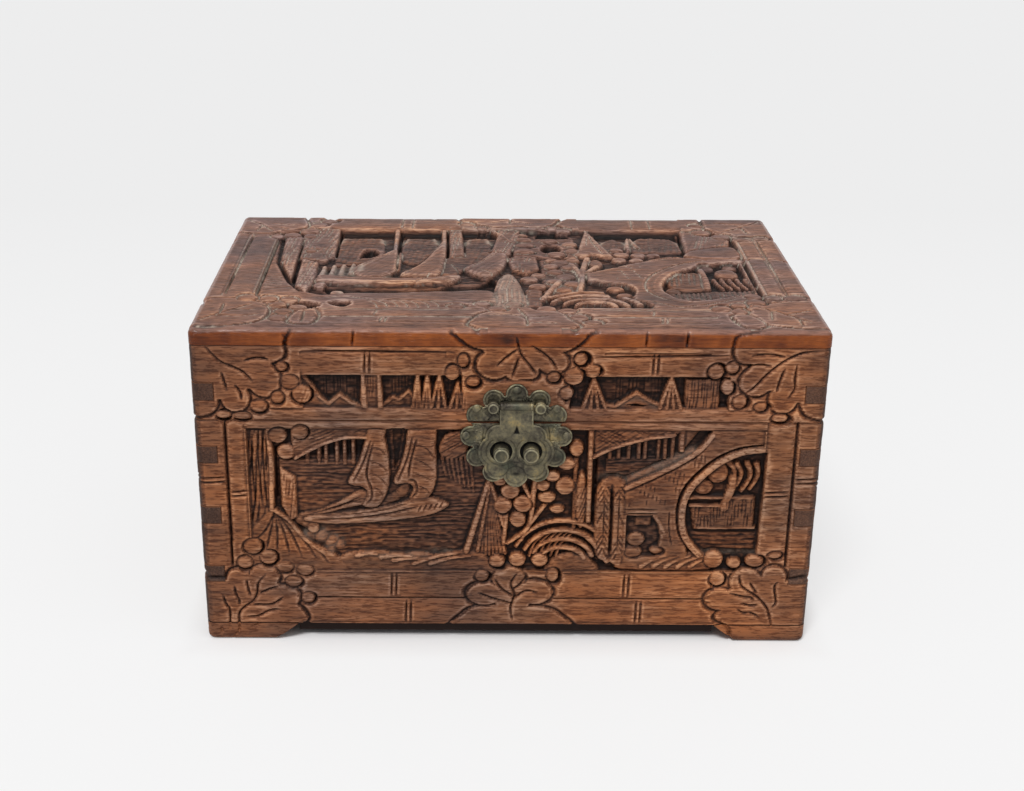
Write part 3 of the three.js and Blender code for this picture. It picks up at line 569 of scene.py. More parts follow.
def thatch(face, shape, top, angle, pitch=1.7, seed=6, deep=0.9):
    face.lift(shape, top, drop=0.8)
    face.hatch(shape, angle, pitch, deep, seed=seed)


def cone_tree(face, apex, left, right, top=1.2, straws=5):
    """A wigwam of straws from an apex down to a base line."""
    face.lift(polygon([apex, left, right]), top + 0.9, drop=0.4)
    for k in range(straws):
        t = k / (straws - 1)
        foot = (left[0] + (right[0] - left[0]) * t, left[1] + (right[1] - left[1]) * t)
        face.lift(stroke([apex, foot], 0.9, 1.5, smooth=False), top, drop=0.3, edge=0.6)


def peaks(face, line, base, top):
    """Hills: a ridge line down to a base, with a raised edge."""
    face.lift(polygon([(line[0][0], base), *line, (line[-1][0], base)]), top, drop=0.4)
    face.lift(stroke(line, 1.3, smooth=False), top - 0.7, drop=0.3, edge=0.6)


def left_scene(face):
    water(face, rect(-110, -6, 66, 98), 2.9, 3.0, seed=21)
    water(face, rect(-112, -4, 44, 70), 3.2, 2.8, seed=22)
    face.sink(rect(-99, -66, 98.5, 112), 5.2)
    bank = polygon([(-104, 116), (-103.5, 99), *curve([(-102.5, 99.3), (-95, 103.6), (-87, 107.6),
                                                        (-78, 110.3), (-66, 110.6)]), (-62, 116)])
    face.lift(bank, 1.5)
    face.hatch(bank, 24, 2.2, 0.8, seed=8)
    edge = [(-102.5, 99.5), (-95, 103.8), (-87, 107.8), (-78, 110.4), (-67, 110.6)]
    face.lift(stroke(edge, 1.4), 0.7, drop=0.3, edge=0.7)
    bridge_posts(face, [(-96.7, 103), (-91, 105.5), (-87.6, 107), (-82.4, 109), (-78.6, 110),
                        (-74.4, 110)], 96)
    trunk = polygon([(-125, 62), (-125, 114), (-116, 114), (-113.6, 96), (-114, 70), (-117, 62)])
    thatch(face, trunk, 1.7, 84, 3.2, seed=9, deep=1.5)
    for x in (-122.6, -119.4, -117.2):
        face.cut([(x, 113), (x - 0.6, 96), (x + 0.3, 74)], 1.4, 1.1)
    face.lift(stroke([(-114.8, 114), (-114, 95), (-114.8, 72)], 2.0), 0.5, drop=0.4, edge=0.8)
    face.sink(rect(-113.2, -109.9, 76, 106), 6.2)
    fruit(face, [(-110.5, 111.6, 4.4, 4.2), (-99.8, 113.4, 4.1), (-106.6, 102.7, 4.3, 3.9)], 0.9)
    post = polygon([(-109.8, 94.5), (-102.8, 89.8), (-102.6, 68), (-106, 66), (-109.6, 74)])
    thatch(face, post, 0.9, 84, 2.2, seed=10, deep=0.7)
    mound = blob([(-128, 57), (-121.5, 66), (-113.8, 72.5), (-108, 68), (-101, 60), (-94, 53.5),
                  (-86, 48.5), (-79, 43), (-80, 36), (-128, 36)])
    face.lift(mound, 1.1, drop=0.8, edge=2)
    for foot in ((-124, 55), (-119, 48), (-113, 50), (-107, 48), (-101, 47), (-94, 46), (-88, 43)):
        face.cut([(-113.5, 70.5), ((-113.5 + foot[0]) / 2 + 0.6, 61), foot], 1.8, 1.0)
    face.lift(stroke([(-113.5, 71.5), (-107, 66.5), (-99, 56), (-90, 48.5)], 1.6), 0.5, drop=0.4)
    for x, z, r in ((-97, 57.3, 3.6), (-91.2, 57, 4), (-86, 54, 3.8), (-82.6, 52.6, 3), (-87, 50, 3)):
        face.lift(disc(x, z, r), 2.0, drop=1.2, edge=r)
        face.powder(disc(x, z + 1, r), 0.45)
    face.lift(stroke([(-101, 66.5), (-95.3, 62.7)], 6), 1.5, drop=1.2, edge=3)
    face.dome(-94.9, 62.4, 2.9, 3, top=0.8)
    prow = blob([(-101.5, 68.5), (-92, 69), (-80, 72.5), (-70, 75), (-67.5, 80.5), (-72, 82.5),
                 (-79, 78), (-90, 72.3), (-100, 70)])
    face.lift(prow, 1.5, drop=0.6)
    for k in range(3):
        face.cut([(-96 + 5 * k, 69.8 + k), (-82 + 3 * k, 74 + k), (-71, 79.5 - 1.6 * k)], 1.2, 0.8)
    aft = blob([(-63, 74), (-56, 75.5), (-49.5, 80), (-47, 86.5), (-50.5, 86.8), (-55, 81.5), (-62, 78)])
    face.lift(aft, 2.2, drop=0.5)
    hull = blob([(-99, 66.3), (-88, 64.6), (-70, 65.2), (-50, 67.4), (-37, 70), (-30, 73.6),
                 (-29.3, 76), (-36, 78.6), (-45, 78.6), (-53, 75.6), (-66, 72.6), (-82, 70), (-96, 69)])
    face.lift(hull, 0.5, drop=0.8, edge=2)
    face.cut([(-95, 67), (-75, 68), (-58, 70.5), (-44, 74.5)], 1.4, 1.1)
    face.cut([(-90, 69), (-72, 70.6), (-58, 73), (-48, 76.5)], 1.1, 0.7)
    for k in range(5):
        face.cut([(-43.5 + 2.6 * k, 71.8 + 0.5 * k), (-42 + 2.6 * k, 75 + 0.4 * k)], 1.0, 0.9)
    sail(
        face,
        [(-66.5, 116), (-69, 106), (-72, 97), (-77, 87.5), (-75.5, 85.6), (-70.5, 84.6),
         (-67.8, 81), (-70.3, 74.6), (-64.5, 73.6), (-60.5, 77.5), (-57.8, 85), (-57.2, 93),
         (-58, 103), (-59.3, 110), (-59.4, 116)],
        [[(-66, 109), (-69.5, 98), (-74.5, 88)],
         [(-64.8, 108), (-67.5, 97), (-68, 90), (-66, 84), (-66, 79), (-68.6, 75.5)]],
        [[(-65.5, 106), (-61, 104.5), (-59, 102)], [(-66.5, 98.5), (-62, 97), (-58.3, 93.5)],
         [(-67, 92), (-62.5, 90.5), (-58.5, 86)], [(-65, 85), (-62, 83), (-60.3, 80)]],
    )
    sail(
        face,
        [(-46.8, 116), (-49, 106), (-51.5, 96.5), (-55, 88), (-53.5, 86), (-48.5, 86.8),
         (-45.6, 83.5), (-47.5, 78.3), (-42, 77.6), (-37.5, 80.5), (-35, 88), (-34.6, 97),
         (-35.2, 106), (-35.4, 116)],
        [[(-46, 111), (-48.5, 100), (-53, 88.5)], [(-44, 110), (-47, 98), (-48, 90.5)],
         [(-48, 88.8), (-45, 88), (-44, 83), (-46.5, 79)]],
        [[(-44.5, 107), (-39.5, 105.5), (-36, 101)], [(-46, 100), (-41, 98), (-36, 94)],
         [(-46.5, 93), (-41.5, 91), (-36, 88)], [(-43.5, 86), (-40, 84), (-37.5, 81.5)]],
    )
    face.sink(polygon([(-57, 116), (-56.2, 96), (-55.2, 90), (-51.5, 98), (-48.8, 116)]), 5.0)
    willow = blob([(-33.5, 104), (-30, 111.5), (-23, 113.5), (-19, 108), (-21, 101), (-27, 99.5), (-31, 100)])
    thatch(face, willow, 1.7, 30, 2.0, seed=12)
    for k in range(7):
        x = -32 + 2.2 * k
        face.lift(stroke([(x, 103), (x + 0.7, 96), (x + 2.2, 90 - 1.4 * k)], 2.0, 0.8), 2.2 + 0.3 * (k % 2),
                  drop=0.5, edge=0.8)
    shore = blob([(-84, 44), (-80, 47.5), (-70, 49.8), (-60, 49.5), (-54, 47.3), (-44, 49.2),
                  (-33, 47.5), (-19, 50.5), (-10, 47), (-10, 36), (-84, 36)])
    face.lift(shore, 1.4, drop=0.8)
    for x0, z0, x1, z1 in ((-62, 46.3, -47, 47), (-56, 44.6, -41, 45.6), (-46, 43, -24, 49),
                           (-38, 43, -18, 47.5), (-74, 47, -64, 48)):
        face.lift(stroke([(x0, z0), ((x0 + x1) / 2, (z0 + z1) / 2 + 0.8), (x1, z1)], 2, 1),
                  0.4, drop=0.4, edge=0.9)
    face.powder(stroke([(-70, 48.5), (-60, 47), (-40, 48)], 2), 0.45)
    face.powder(stroke([(-37, 50), (-28, 49)], 2.5), 0.4)


def middle_scene(face):
    cone_tree(face, (-9.2, 88), (-20.5, 47), (-1, 48), top=1.9, straws=11)
    face.lift(stroke([(-9.4, 88), (-20, 50)], 1.6, 2.6, smooth=False), 0.5, drop=0.4, edge=1)
    face.lift(stroke([(-8.6, 87), (-14.5, 50)], 1.0, 1.6, smooth=False), 0.9, drop=0.4, edge=0.8)
    face.lift(stroke([(-8.4, 87), (-2, 64)], 1.2, 1.8, smooth=False), 1.0, drop=0.4, edge=0.8)
    branches = [
        ([(13.5, 91), (12.3, 80), (11.6, 70), (10, 63), (4, 57), (0, 54)], 2.3, 1.2),
        ([(6.5, 88), (10.5, 79.5)], 1.5, 1.5),
        ([(19, 76.5), (14.5, 70), (11, 65)], 1.5, 1.8),
        ([(-0.8, 69), (-1.8, 54)], 2.2, 1.6),
        ([(9, 62), (7, 56)], 1.6, 1.2),
    ]
    for points, width, tip in branches:
        face.lift(stroke(points, width, tip), 0.9, drop=0.5, edge=0.9)
    fruit(face, [
        (1, 82.5, 4.4, 4), (-2.4, 74.8, 4.3), (7.3, 75.6, 4.5, 4.4), (5, 67.2, 3.9, 4),
        (16.8, 85.6, 3.2, 2.8), (18.8, 79.2, 4.2, 2.7), (24, 72.8, 3.4, 1.9), (27.6, 85.2, 4.4),
        (21.3, 90.6, 3.6, 2.8), (28, 97, 4.1, 2.9), (32.6, 105.2, 3.3, 4), (-4, 88, 3, 2.6),
    ], 0.7)
    rock = blob([(20, 38), (22, 45), (30, 49), (40, 47.5), (44, 38)])
    face.lift(rock, 1.4, drop=0.9, edge=3)
    face.sink(blob([(41, 50), (44.5, 46), (46, 40), (43, 42), (40, 46)]), 5.2)
    for k, (rx, rz) in enumerate(((11, 7), (15, 11.5), (19.5, 16.5), (24, 21.5))):
        points = []
        for step in range(9):
            angle = math.radians(14 + 146 * step / 8)
            points.append((27 + rx * math.cos(angle), 45 + rz * math.sin(angle)))
        face.lift(stroke(points, 2.6, 1.2), 1.0 if k % 2 else 0.7, drop=0.6, edge=1.2)
    for k in range(6):
        x = 11 + 2.6 * k
        face.lift(stroke([(x, 47), (x + 2.5, 54), (x + 8, 60)], 1.2, 0.9), 1.9, drop=0.4, edge=0.6)
    face.lift(stroke([(39, 58), (44, 52), (49, 44)], 2.6, 1.8), 0.9, drop=0.6, edge=1.2)
    reed = blob([(32.8, 76), (34.5, 92), (37.2, 90), (38, 76), (37.3, 66), (35, 63)])
    thatch(face, reed, 1.0, 70, 2.0, seed=14)
    face.lift(rect(38.3, 40.2, 66, 116), 0.6, drop=0.4, edge=0.9)
    face.lift(rect(31.5, 33.5, 62, 100), 2.2, drop=0.4, edge=0.9)


def right_scene(face):
    face.sink(rect(40.6, 44.5, 66, 104), 6.0)
    bank = polygon([(40.6, 116), *curve([(41, 100.8), (48, 104.6), (57, 108), (68, 110.8),
                                         (80, 112.6)]), (84, 116)])
    face.lift(bank, 1.4)
    face.hatch(bank, -28, 2.3, 0.8, seed=16)
    face.hatch(bank, 32, 2.6, 0.5, seed=17)
    face.lift(stroke([(41, 101), (48, 104.8), (57, 108.2), (68, 111), (79, 112.6)], 1.5), 0.6,
              drop=0.3, edge=0.7)
    bridge_posts(face, [(48.5, 104), (53, 106), (57.8, 107.5), (62.6, 109), (65.6, 110),
                        (71.8, 111), (75, 111.5), (78.6, 112)], 99.5)
    water(face, polygon([(47, 92), (47, 99.5), (77, 101), (70, 97), (58, 91)]), 3.2, 2.4, seed=24)
    face.lift(rect(81.8, 84, 103.5, 116), 1.6, drop=0.4, edge=0.8)
    face.lift(polygon([(84, 104.5), (92, 116), (84, 116)]), 2.4)
    # The big bridge, with its deck, its brick face and the ring of its arch
    wall = polygon([(56.5, 84), (74, 93), (90.5, 103.5), (97, 113), (97, 116), (124, 116),
                    (124, 108), (113, 106.6), (104, 103), (96, 97.5), (89.5, 91), (85, 84),
                    (82.9, 76), (82.6, 68), (84, 60), (88, 52), (89, 44), (56.5, 44)])
    face.lift(wall, 0.9, drop=0.5)
    for k in range(60):
        u, v = (0.618 * k) % 1, (0.7548 * k) % 1
        x, z = 59 + 36 * u, 75 + 27 * v
        if z < 83 + 0.6 * (x - 58) and x < 83 + 1.1 * abs(z - 72) ** 0.9:
            face.cut([(x, z), (x + 0.2, z + 2.2 + 1.6 * u)], 0.9, 0.6, smooth=False)
    face.lift(polygon([(55, 85), (57.5, 90), (75, 98.5), (88.5, 106), (91, 103.6), (74, 93)]), 2.0)
    face.powder(stroke([(57, 89), (75, 97), (89, 105)], 3.2), 0.5)
    face.cut([(57, 82.6), (74, 91.2), (90, 101.6), (96, 109.5)], 1.3, 1.3)
    deck = [(56.8, 84.6), (74, 93.3), (90.5, 103.8), (97.5, 113)]
    face.lift(stroke(deck, 2.2, 1.8), 0.3, drop=0.4, edge=0.9)
    ring = [(123, 105.6), (113, 104.2), (105, 100.8), (98, 95.8), (91.8, 89.5), (87.4, 83),
            (85.2, 76), (84.8, 68), (86.2, 60), (89.6, 54), (94, 49)]
    hollow = polygon([*curve([(x + 1.5, z - 1.2) for x, z in ring]), (123, 46)])
    face.sink(hollow, 4.6)
    face.cut([(x - 2.2, z + 1.4) for x, z in ring], 2.2, 2.0, taper=False)
    face.lift(stroke(ring, 3.0), 0.1, drop=0.6, edge=1.2)
    for k in range(1, 22):
        x, z = curve(ring, steps=2)[k - 1]
        face.cut([(x - 1.3, z + 0.9), (x + 1.3, z - 0.9)], 0.8, 0.5, smooth=False)
    doorway = polygon([(57.5, 70.3), (70.5, 70.3), (74, 65), (75.5, 58), (73.5, 47), (57.5, 47)])
    face.sink(doorway, 3.4)
    for z in (70.9, 73.2):
        face.cut([(57, z), (72.5, z)], 1.1, 1.0, smooth=False)
    face.lift(rect(62.5, 70, 64, 70), 2.1)
    face.lift(stroke([(72.6, 68.5), (75, 64.5), (76.8, 60.5)], 2.1), 0.5, drop=0.5, edge=0.9)
    face.cut([(78.5, 72), (79, 62), (80.5, 54)], 1.1, 0.8)
    fruit(face, [(63, 56.6, 4.3, 3.7), (73.3, 50.8, 3.2, 2.2), (61.5, 49.8, 4.6, 3.2)], 1.1)
    # What stands behind the arch
    fruit(face, [(94.8, 84.6, 4.3, 3.8)], 2.0)
    face.lift(blob([(97, 90), (101, 97), (105, 96), (105.5, 90), (101, 87)]), 1.6, drop=1, edge=3)
    face.lift(stroke([(108.6, 90), (108, 84), (105, 74)], 3.4, 4), 1.3, drop=0.6)
    for points in ([(106, 98), (109, 94), (109, 88)], [(110, 97), (112.5, 92), (110.5, 86)],
                   [(115, 97.5), (117, 91), (113, 83)], [(119.5, 97), (120.5, 91), (117, 84)]):
        face.lift(stroke(points, 2.4, 1.4), 1.7, drop=0.6, edge=1.1)
    face.sink(rect(105, 107.4, 90, 95), 6.2)
    house = polygon([(89, 75), (104, 75.5), (109, 79.5), (120, 79.5), (120, 62), (91, 62)])
    face.lift(house, 2.3)
    face.hatch(house, 90, 1.7, 1.1, seed=18, sharp=1.6)
    for z in (74.6, 78.8):
        face.lift(stroke([(88.5, z), (104 if z < 76 else 119, z + 0.4)], 1.0), 1.9, drop=0.2, edge=0.5)
    face.lift(rect(93, 121, 62.4, 63.6), 1.8, drop=0.2, edge=0.5)
    face.sink(rect(92, 121, 60.2, 61.8), 5.2)
    water(face, polygon([(90, 51), (90, 60), (122, 60), (122, 51)]), 3.6, 3.4, seed=26)
    # The pair of reeds beside the bridge
    crown = polygon(curve([(43, 50), (42.8, 78), (44.2, 86), (49, 90.2), (54.5, 89.4), (57, 84), (57.2, 45),
                           (50.5, 44)], closed=True))
    face.lift(crown, 0.8, drop=1.0, edge=2.0)
    for x0, x1, lean in ((43.2, 46.6, 62), (46.6, 50.2, 118), (50.4, 53.8, 62), (53.8, 57, 118)):
        face.hatch(rect(x0, x1, 46, 86), lean, 2.6, 1.2, seed=int(x0))
    face.cut([(50.3, 86), (50.6, 64), (50.2, 46)], 2.4, 2.6)
    face.cut([(46.4, 84), (46.8, 66), (46.4, 52)], 1.0, 0.7)
    face.cut([(53.8, 85), (54.0, 66), (53.8, 50)], 1.0, 0.7)
    face.powder(stroke([(44, 89), (50, 92), (57, 90)], 2.6), 0.35)
    ground = blob([(56, 40), (58, 45.5), (70, 46.5), (80, 48.5), (90, 49.6), (97, 49), (100, 40)])
    face.lift(ground, 1.3, drop=0.8)
    for k in range(5):
        x = 66 + 6 * k
        face.lift(stroke([(x, 42), (x + 5, 45.5), (x + 12, 48)], 2.2, 1.0), 0.5, drop=0.4, edge=0.9)
    face.powder(stroke([(96, 50), (108, 49), (123, 50)], 1.6), 0.5)


def lid_band(face):
    face.hatch(rect(-98, -20, 126, 143), 90, 2.2, 0.6, seed=31)
    face.hatch(rect(29, 104, 126, 143), 90, 2.2, 0.5, seed=32)
    peaks(face, [(-98, 143), (-94, 138), (-89.5, 131), (-85.5, 127.5), (-80, 132.3), (-74.5, 128),
                 (-70, 126.6)], 125, 2.2)
    face.powder(stroke([(-91, 132), (-86, 127.5), (-80, 131.5), (-73, 127.5)], 1.4), 0.4)
    thatch(face, polygon([(-71, 125), (-69.6, 143), (-61, 143), (-60.2, 125)]), 1.7, 86, 2.2, seed=33)
    for x in (-69, -61.6):
        face.lift(stroke([(x, 143), (x + 0.6, 126)], 1.4, 2.6, smooth=False), 0.7, drop=0.4, edge=0.8)
    peaks(face, [(-60, 127), (-55, 131), (-52, 130), (-47.5, 134.2), (-45, 131)], 125, 2.3)
    for apex, half in (((-43.2, 144), 1.9), ((-38.6, 144), 2.2), ((-33, 143), 3.6), ((-24.3, 138.5), 3.4)):
        cone_tree(face, apex, (apex[0] - half - 0.6, 125), (apex[0] + half - 0.6, 125), 0.8, 3)
    cone_tree(face, (39.7, 141), (34.5, 125), (46, 125), 0.9, 4)
    peaks(face, [(45, 128), (50, 127), (55, 130.5), (60, 134), (66, 130), (72, 127.3)], 125, 2.0)
    face.sink(blob([(54, 128.2), (60, 129), (68, 127), (60, 126.2)]), 5.4)
    face.powder(stroke([(52, 127.5), (60, 131.5), (69, 127)], 1.8), 0.35)
    cone_tree(face, (76, 142.5), (70.8, 125), (81.5, 125), 0.9, 4)
    thatch(face, rect(83, 99, 125, 141), 1.9, 88, 2.0, seed=35)


# The faces: a sunken field in the body and a sunken band in the lid, framed by bamboo stems
FIELD_LOW, FIELD_HIGH, FIELD_DEPTH = 38.6, 115.4, 4.3
BAND_LOW, BAND_HIGH, BAND_DEPTH = 125.8, 143.2, 4.4
FRAME_WIDTH = 25.5
BODY_STEM_TOP = 119.7
FRONT_BAND = 98
LEFT_END_SHIFT, RIGHT_END_SHIFT = -55.6, 53


def carve_front(face):
    face.sink(rect(-125.3, 122.3, FIELD_LOW, FIELD_HIGH), FIELD_DEPTH)
    left_band = [(-98, BAND_LOW), (-98.5, BAND_HIGH), (-22, BAND_HIGH), (-22, BAND_LOW)]
    face.sink(polygon(left_band), BAND_DEPTH)
    face.sink(rect(28, 104, BAND_LOW, 142.8), BAND_DEPTH)
    left_scene(face)
    middle_scene(face)
    right_scene(face)
    lid_band(face)
    stem(face, -150, -135.4, 40.5, BODY_STEM_TOP, nodes=(88.2,))
    stem(face, -134.8, -125.6, 55, BODY_STEM_TOP, nodes=(81,))
    stem(face, 122.8, 136.6, 46, BODY_STEM_TOP, nodes=(82,))
    stem(face, 137.4, 150, 42, BODY_STEM_TOP, nodes=(89,))
    for x in (-135.1, 137):
        face.cut([(x, 42), (x, 119.5)], 1.5, 2.4, taper=False, smooth=False)
    stem(face, -104, 104, 24.2, 38.2, nodes=(-56, 59))
    stem(face, -104, 108, 9.5, 23.2, nodes=(-49, 65.5))
    face.cut([(-97, 23.7), (98, 23.7)], 1.4, 2.2, taper=False, smooth=False)
    stem(face, -125.5, 122.5, 115.2, 126, crown=1.2)
    stem(face, -98, -30, 143.4, 155, nodes=(-67,))
    stem(face, 44, 94, 142.8, 155, nodes=(68,))
    face.cut([(-97, 155.2), (-26, 154.8)], 1.2, 1.6, smooth=False)
    face.cut([(40, 152.6), (70, 152.9), (103, 153.8)], 1.2, 1.6)
    for x in (-73.5, 63, 82):
        face.cut([(x, 157.6), (x + 0.6, 165.5)], 1.6, 1.4, smooth=False)
    face.sink(polygon([(-106.8, 166), (-102.8, 165), (-103.6, 160.5), (-105.8, 160)]), 2.4, wall=1.2)
    face.cut([(104, 13.2), (125, 13), (149, 12.3)], 0.9, 1.3)
    for each in CORNER_CLUSTERS + MIDDLE_CLUSTERS:
        cluster(face, **each)
    face.hatch(disc(-98, 133, 4.4), 70, 1.8, 0.5, seed=41)
    seat = both(disc(LOCK_X, LOCK_Z, LOCK_SEAT), half_plane(LOCK_Z + 9, True))
    face.lift(seat, 0.0, drop=0.8, edge=1.5)
    face.lift(both(disc(LOCK_X, LOCK_Z, LOCK_REACH - 1.5), half_plane(LOCK_Z - 4, True)), 0.0, drop=0.2)
    face.lift(disc(LOCK_X, LOCK_Z, LOCK_REACH - 4.5), 0.0, drop=0.2)


def shared_frame(face, reach, middle):
    """Bamboo stems and leaf clusters of the ends and the back, as on the front."""
    for side in (-1, 1):
        outer = sorted((side * reach, side * (reach - 13.4)))
        inner = sorted((side * (reach - 14.2), side * (reach - 25)))
        stem(face, *outer, 40, BODY_STEM_TOP, nodes=(88 + side,))
        stem(face, *inner, 40, BODY_STEM_TOP, nodes=(80,))
        x = side * (reach - 13.8)
        face.cut([(x, 42), (x, 119.5)], 1.5, 2.4, taper=False, smooth=False)
    ends = reach - 46
    stem(face, -ends, ends, 24.2, 38.2, nodes=(-24, 27))
    stem(face, -ends, ends, 9.5, 23.2, nodes=(-31, 20))
    face.cut([(-ends, 23.7), (ends, 23.7)], 1.4, 2.2, taper=False, smooth=False)
    stem(face, -reach + 24, reach - 24, 115.2, 126, crown=1.2)
    stem(face, -ends, ends, 143.4, 155, nodes=(-22,))
    face.cut([(-ends, 155.2), (ends, 155)], 1.2, 1.6, smooth=False)
    for x in (-36, 31):
        face.cut([(x, 157.6), (x + 0.6, 165.5)], 1.6, 1.4, smooth=False)
    shift = HALF_W - reach
    for low, high, offset in ((-reach - 6, 0, -shift), (0, reach + 6, shift)):
        half = face.part(low, high, offset)
        for each in CORNER_CLUSTERS:
            cluster(half, **each)
    if middle:
        for each in MIDDLE_CLUSTERS:
            cluster(face, **each)


def carve_again(face, reach, band, shift, scenes, mirror=False):
    """A face that carries some of the front's scenes, moved sideways or the other way round."""
    inner = reach - FRAME_WIDTH
    face.sink(rect(-inner, inner, FIELD_LOW, FIELD_HIGH), FIELD_DEPTH)
    face.sink(rect(-band, band, BAND_LOW, BAND_HIGH), BAND_DEPTH)
    field = face.part(-inner, inner, shift, mirror)
    for scene in (*scenes, lid_band):
        scene(field)
    shared_frame(face, reach, middle=mirror)


END_BAND = HALF_D - FRAME_WIDTH - 2


def carve_left(face):
    carve_again(face, HALF_D, END_BAND, LEFT_END_SHIFT, (left_scene, middle_scene))


def carve_right(face):
    carve_again(face, HALF_D, END_BAND, RIGHT_END_SHIFT, (middle_scene, right_scene))


def carve_back(face):
    carve_again(face, HALF_W, FRONT_BAND, 0, (left_scene, middle_scene, right_scene), mirror=True)


def top_frame(face):
    rim = 0.9 * (np.clip(-86 - face.b, 0, None) / 10) ** 2
    face.depth += rim[None, :]
    for low, high in ((-95, -15), (40, 99)):
        stem(face, low, high, -76.2, -66.6, crown=0.7)
        stem(face, low, high, -86, -77, crown=0.7)
        face.cut([(low, -76.6), (high, -76.6)], 1.3, 1.7, taper=False, smooth=False)
    for x in (-61.5, 71.5):
        face.cut([(x, -86), (x + 1, -78)], 1.3, 1.3, smooth=False)
        face.cut([(x + 2.4, -86), (x + 3.2, -78)], 1.3, 1.3, smooth=False)
        face.cut([(x - 3, -75), (x - 2, -68)], 1.3, 1.2, smooth=False)
    stem(face, -150, -140.6, -48, 60, crown=0.9)
    stem(face, -139.6, -126, -46, 60, crown=0.9)
    stem(face, 127.6, 137.4, -42, 56, crown=0.9)
    stem(face, 138.4, 150, -44, 54, crown=0.9)
    for x in (-140, 138):
        face.cut([(x, -44), (x + 0.6, 56)], 1.2, 2.0, taper=False, smooth=False)
    for low, high in ((-98, -24), (42, 100)):
        stem(face, low, high, 72.5, 93, crown=0.8)
        for x in (low + 40, high - 28):
            face.cut([(x, 74), (x + 0.6, 92)], 1.3, 1.3, smooth=False)


SLAB_CLUSTERS = [
    dict(
        lobes=[blob([(-152, -88), (-148, -56), (-138, -52), (-126, -55), (-118, -60), (-115, -72),
               (-118, -84), (-130, -90)])],
        veins=[[(-146, -84), (-138, -74), (-130, -66), (-124, -60)], [(-138, -74), (-138, -60)],
               [(-133, -69), (-122, -68)], [(-140, -77), (-128, -78), (-120, -76)]]),
    dict(
        lobes=[blob([(-104, -86), (-103, -74), (-99, -66), (-93, -68), (-91, -78), (-94, -88)])],
        veins=[[(-98, -86), (-98, -70)]],
        spots=[(-128, -49.5, 5.4, 4.6), (-117.5, -50.5, 4.6), (-107.5, -52, 4.6, 4.2), (-112, -59.5, 4.3),
               (-102, -63, 4.6, 3.8), (-108.5, -69, 4.6), (-110, -79, 4.5)], top=0.3),
    dict(
        lobes=[blob([(-152, 92), (-149, 68), (-143, 62), (-131, 61), (-124, 66), (-116, 68), (-111, 76),
               (-113, 88), (-118, 96)])],
        veins=[[(-146, 88), (-137, 78), (-130, 66)], [(-137, 78), (-139, 66)], [(-132, 80), (-118, 78)],
               [(-126, 73), (-121, 69)]],
        spots=[(-109, 68, 5.4, 5), (-118, 60, 5, 4.4), (-105, 80, 5, 4.6), (-100, 88, 4.5, 4.4),
               (-126, 57, 3.8, 3.4), (-108, 58, 3.8)], top=0.3),
    dict(
        lobes=[blob([(152, -88), (150, -55), (140, -52), (128, -56), (117, -60), (113, -66), (117, -76),
               (124, -88)]), blob([(106, -74), (115, -74), (120, -88), (110, -90)])],
        veins=[[(121, -62), (132, -72), (142, -84)], [(132, -72), (145, -66)], [(126, -66), (124, -80)],
               [(137, -77), (137, -88)]],
        spots=[(102.5, -62.5, 5, 4.4), (110.5, -66.5, 4.2), (111.5, -57, 4.2, 3.9),
               (120.8, -52.5, 5.2, 4.4), (120.5, -43.5, 5, 4.4), (130.5, -46, 4.4, 3.7),
               (141, -46, 5.6, 4.4)], top=0.3),
    dict(
        lobes=[blob([(152, 92), (150, 62), (142, 60), (131, 60), (120, 66), (114, 73), (113, 84),
               (118, 98)])],
        veins=[[(146, 90), (134, 78), (122, 68)], [(134, 78), (136, 64)], [(138, 82), (120, 86)]],
        spots=[(110, 69, 5.4, 5), (108.5, 82, 4.4, 4.2), (120, 60.5, 5.6, 5), (131, 54.5, 5.4, 4.6),
               (142, 57, 4.5, 3.6)], top=0.3),
    dict(
        lobes=[blob([(-16, -92), (-16, -76), (-8, -69), (-2, -62), (8, -62), (14, -68), (24, -70),
               (28, -80), (30, -92)])],
        veins=[[(8, -90), (8, -78), (4, -65)], [(8, -80), (0, -74), (-10, -76)], [(8, -78), (18, -76)],
               [(8, -84), (22, -86)]],
        spots=[(-6, -65, 4.8, 4.2), (-13, -56.5, 4, 3.6), (2, -57, 4.4, 3.4), (18, -64, 4.8, 4.2),
               (28, -67, 4.6, 4.2), (33, -76, 4.6, 4.2), (39, -83.5, 4.4, 3.8),
               (-26, -61, 4.2, 3.2)], top=0.3),
    dict(
        lobes=[blob([(-22, 96), (-21, 84), (-12, 80), (-4, 76), (8, 78), (16, 76), (26, 79), (31, 90),
               (31, 97)])],
        veins=[[(4, 94), (3, 82)], [(4, 90), (-8, 84)], [(4, 88), (16, 82)]],
        spots=[(-21.5, 83, 4.5, 4), (33, 72, 4.4), (-13, 76, 3.6, 3.2), (27, 76, 3.6, 3.2)], top=0.4),
]


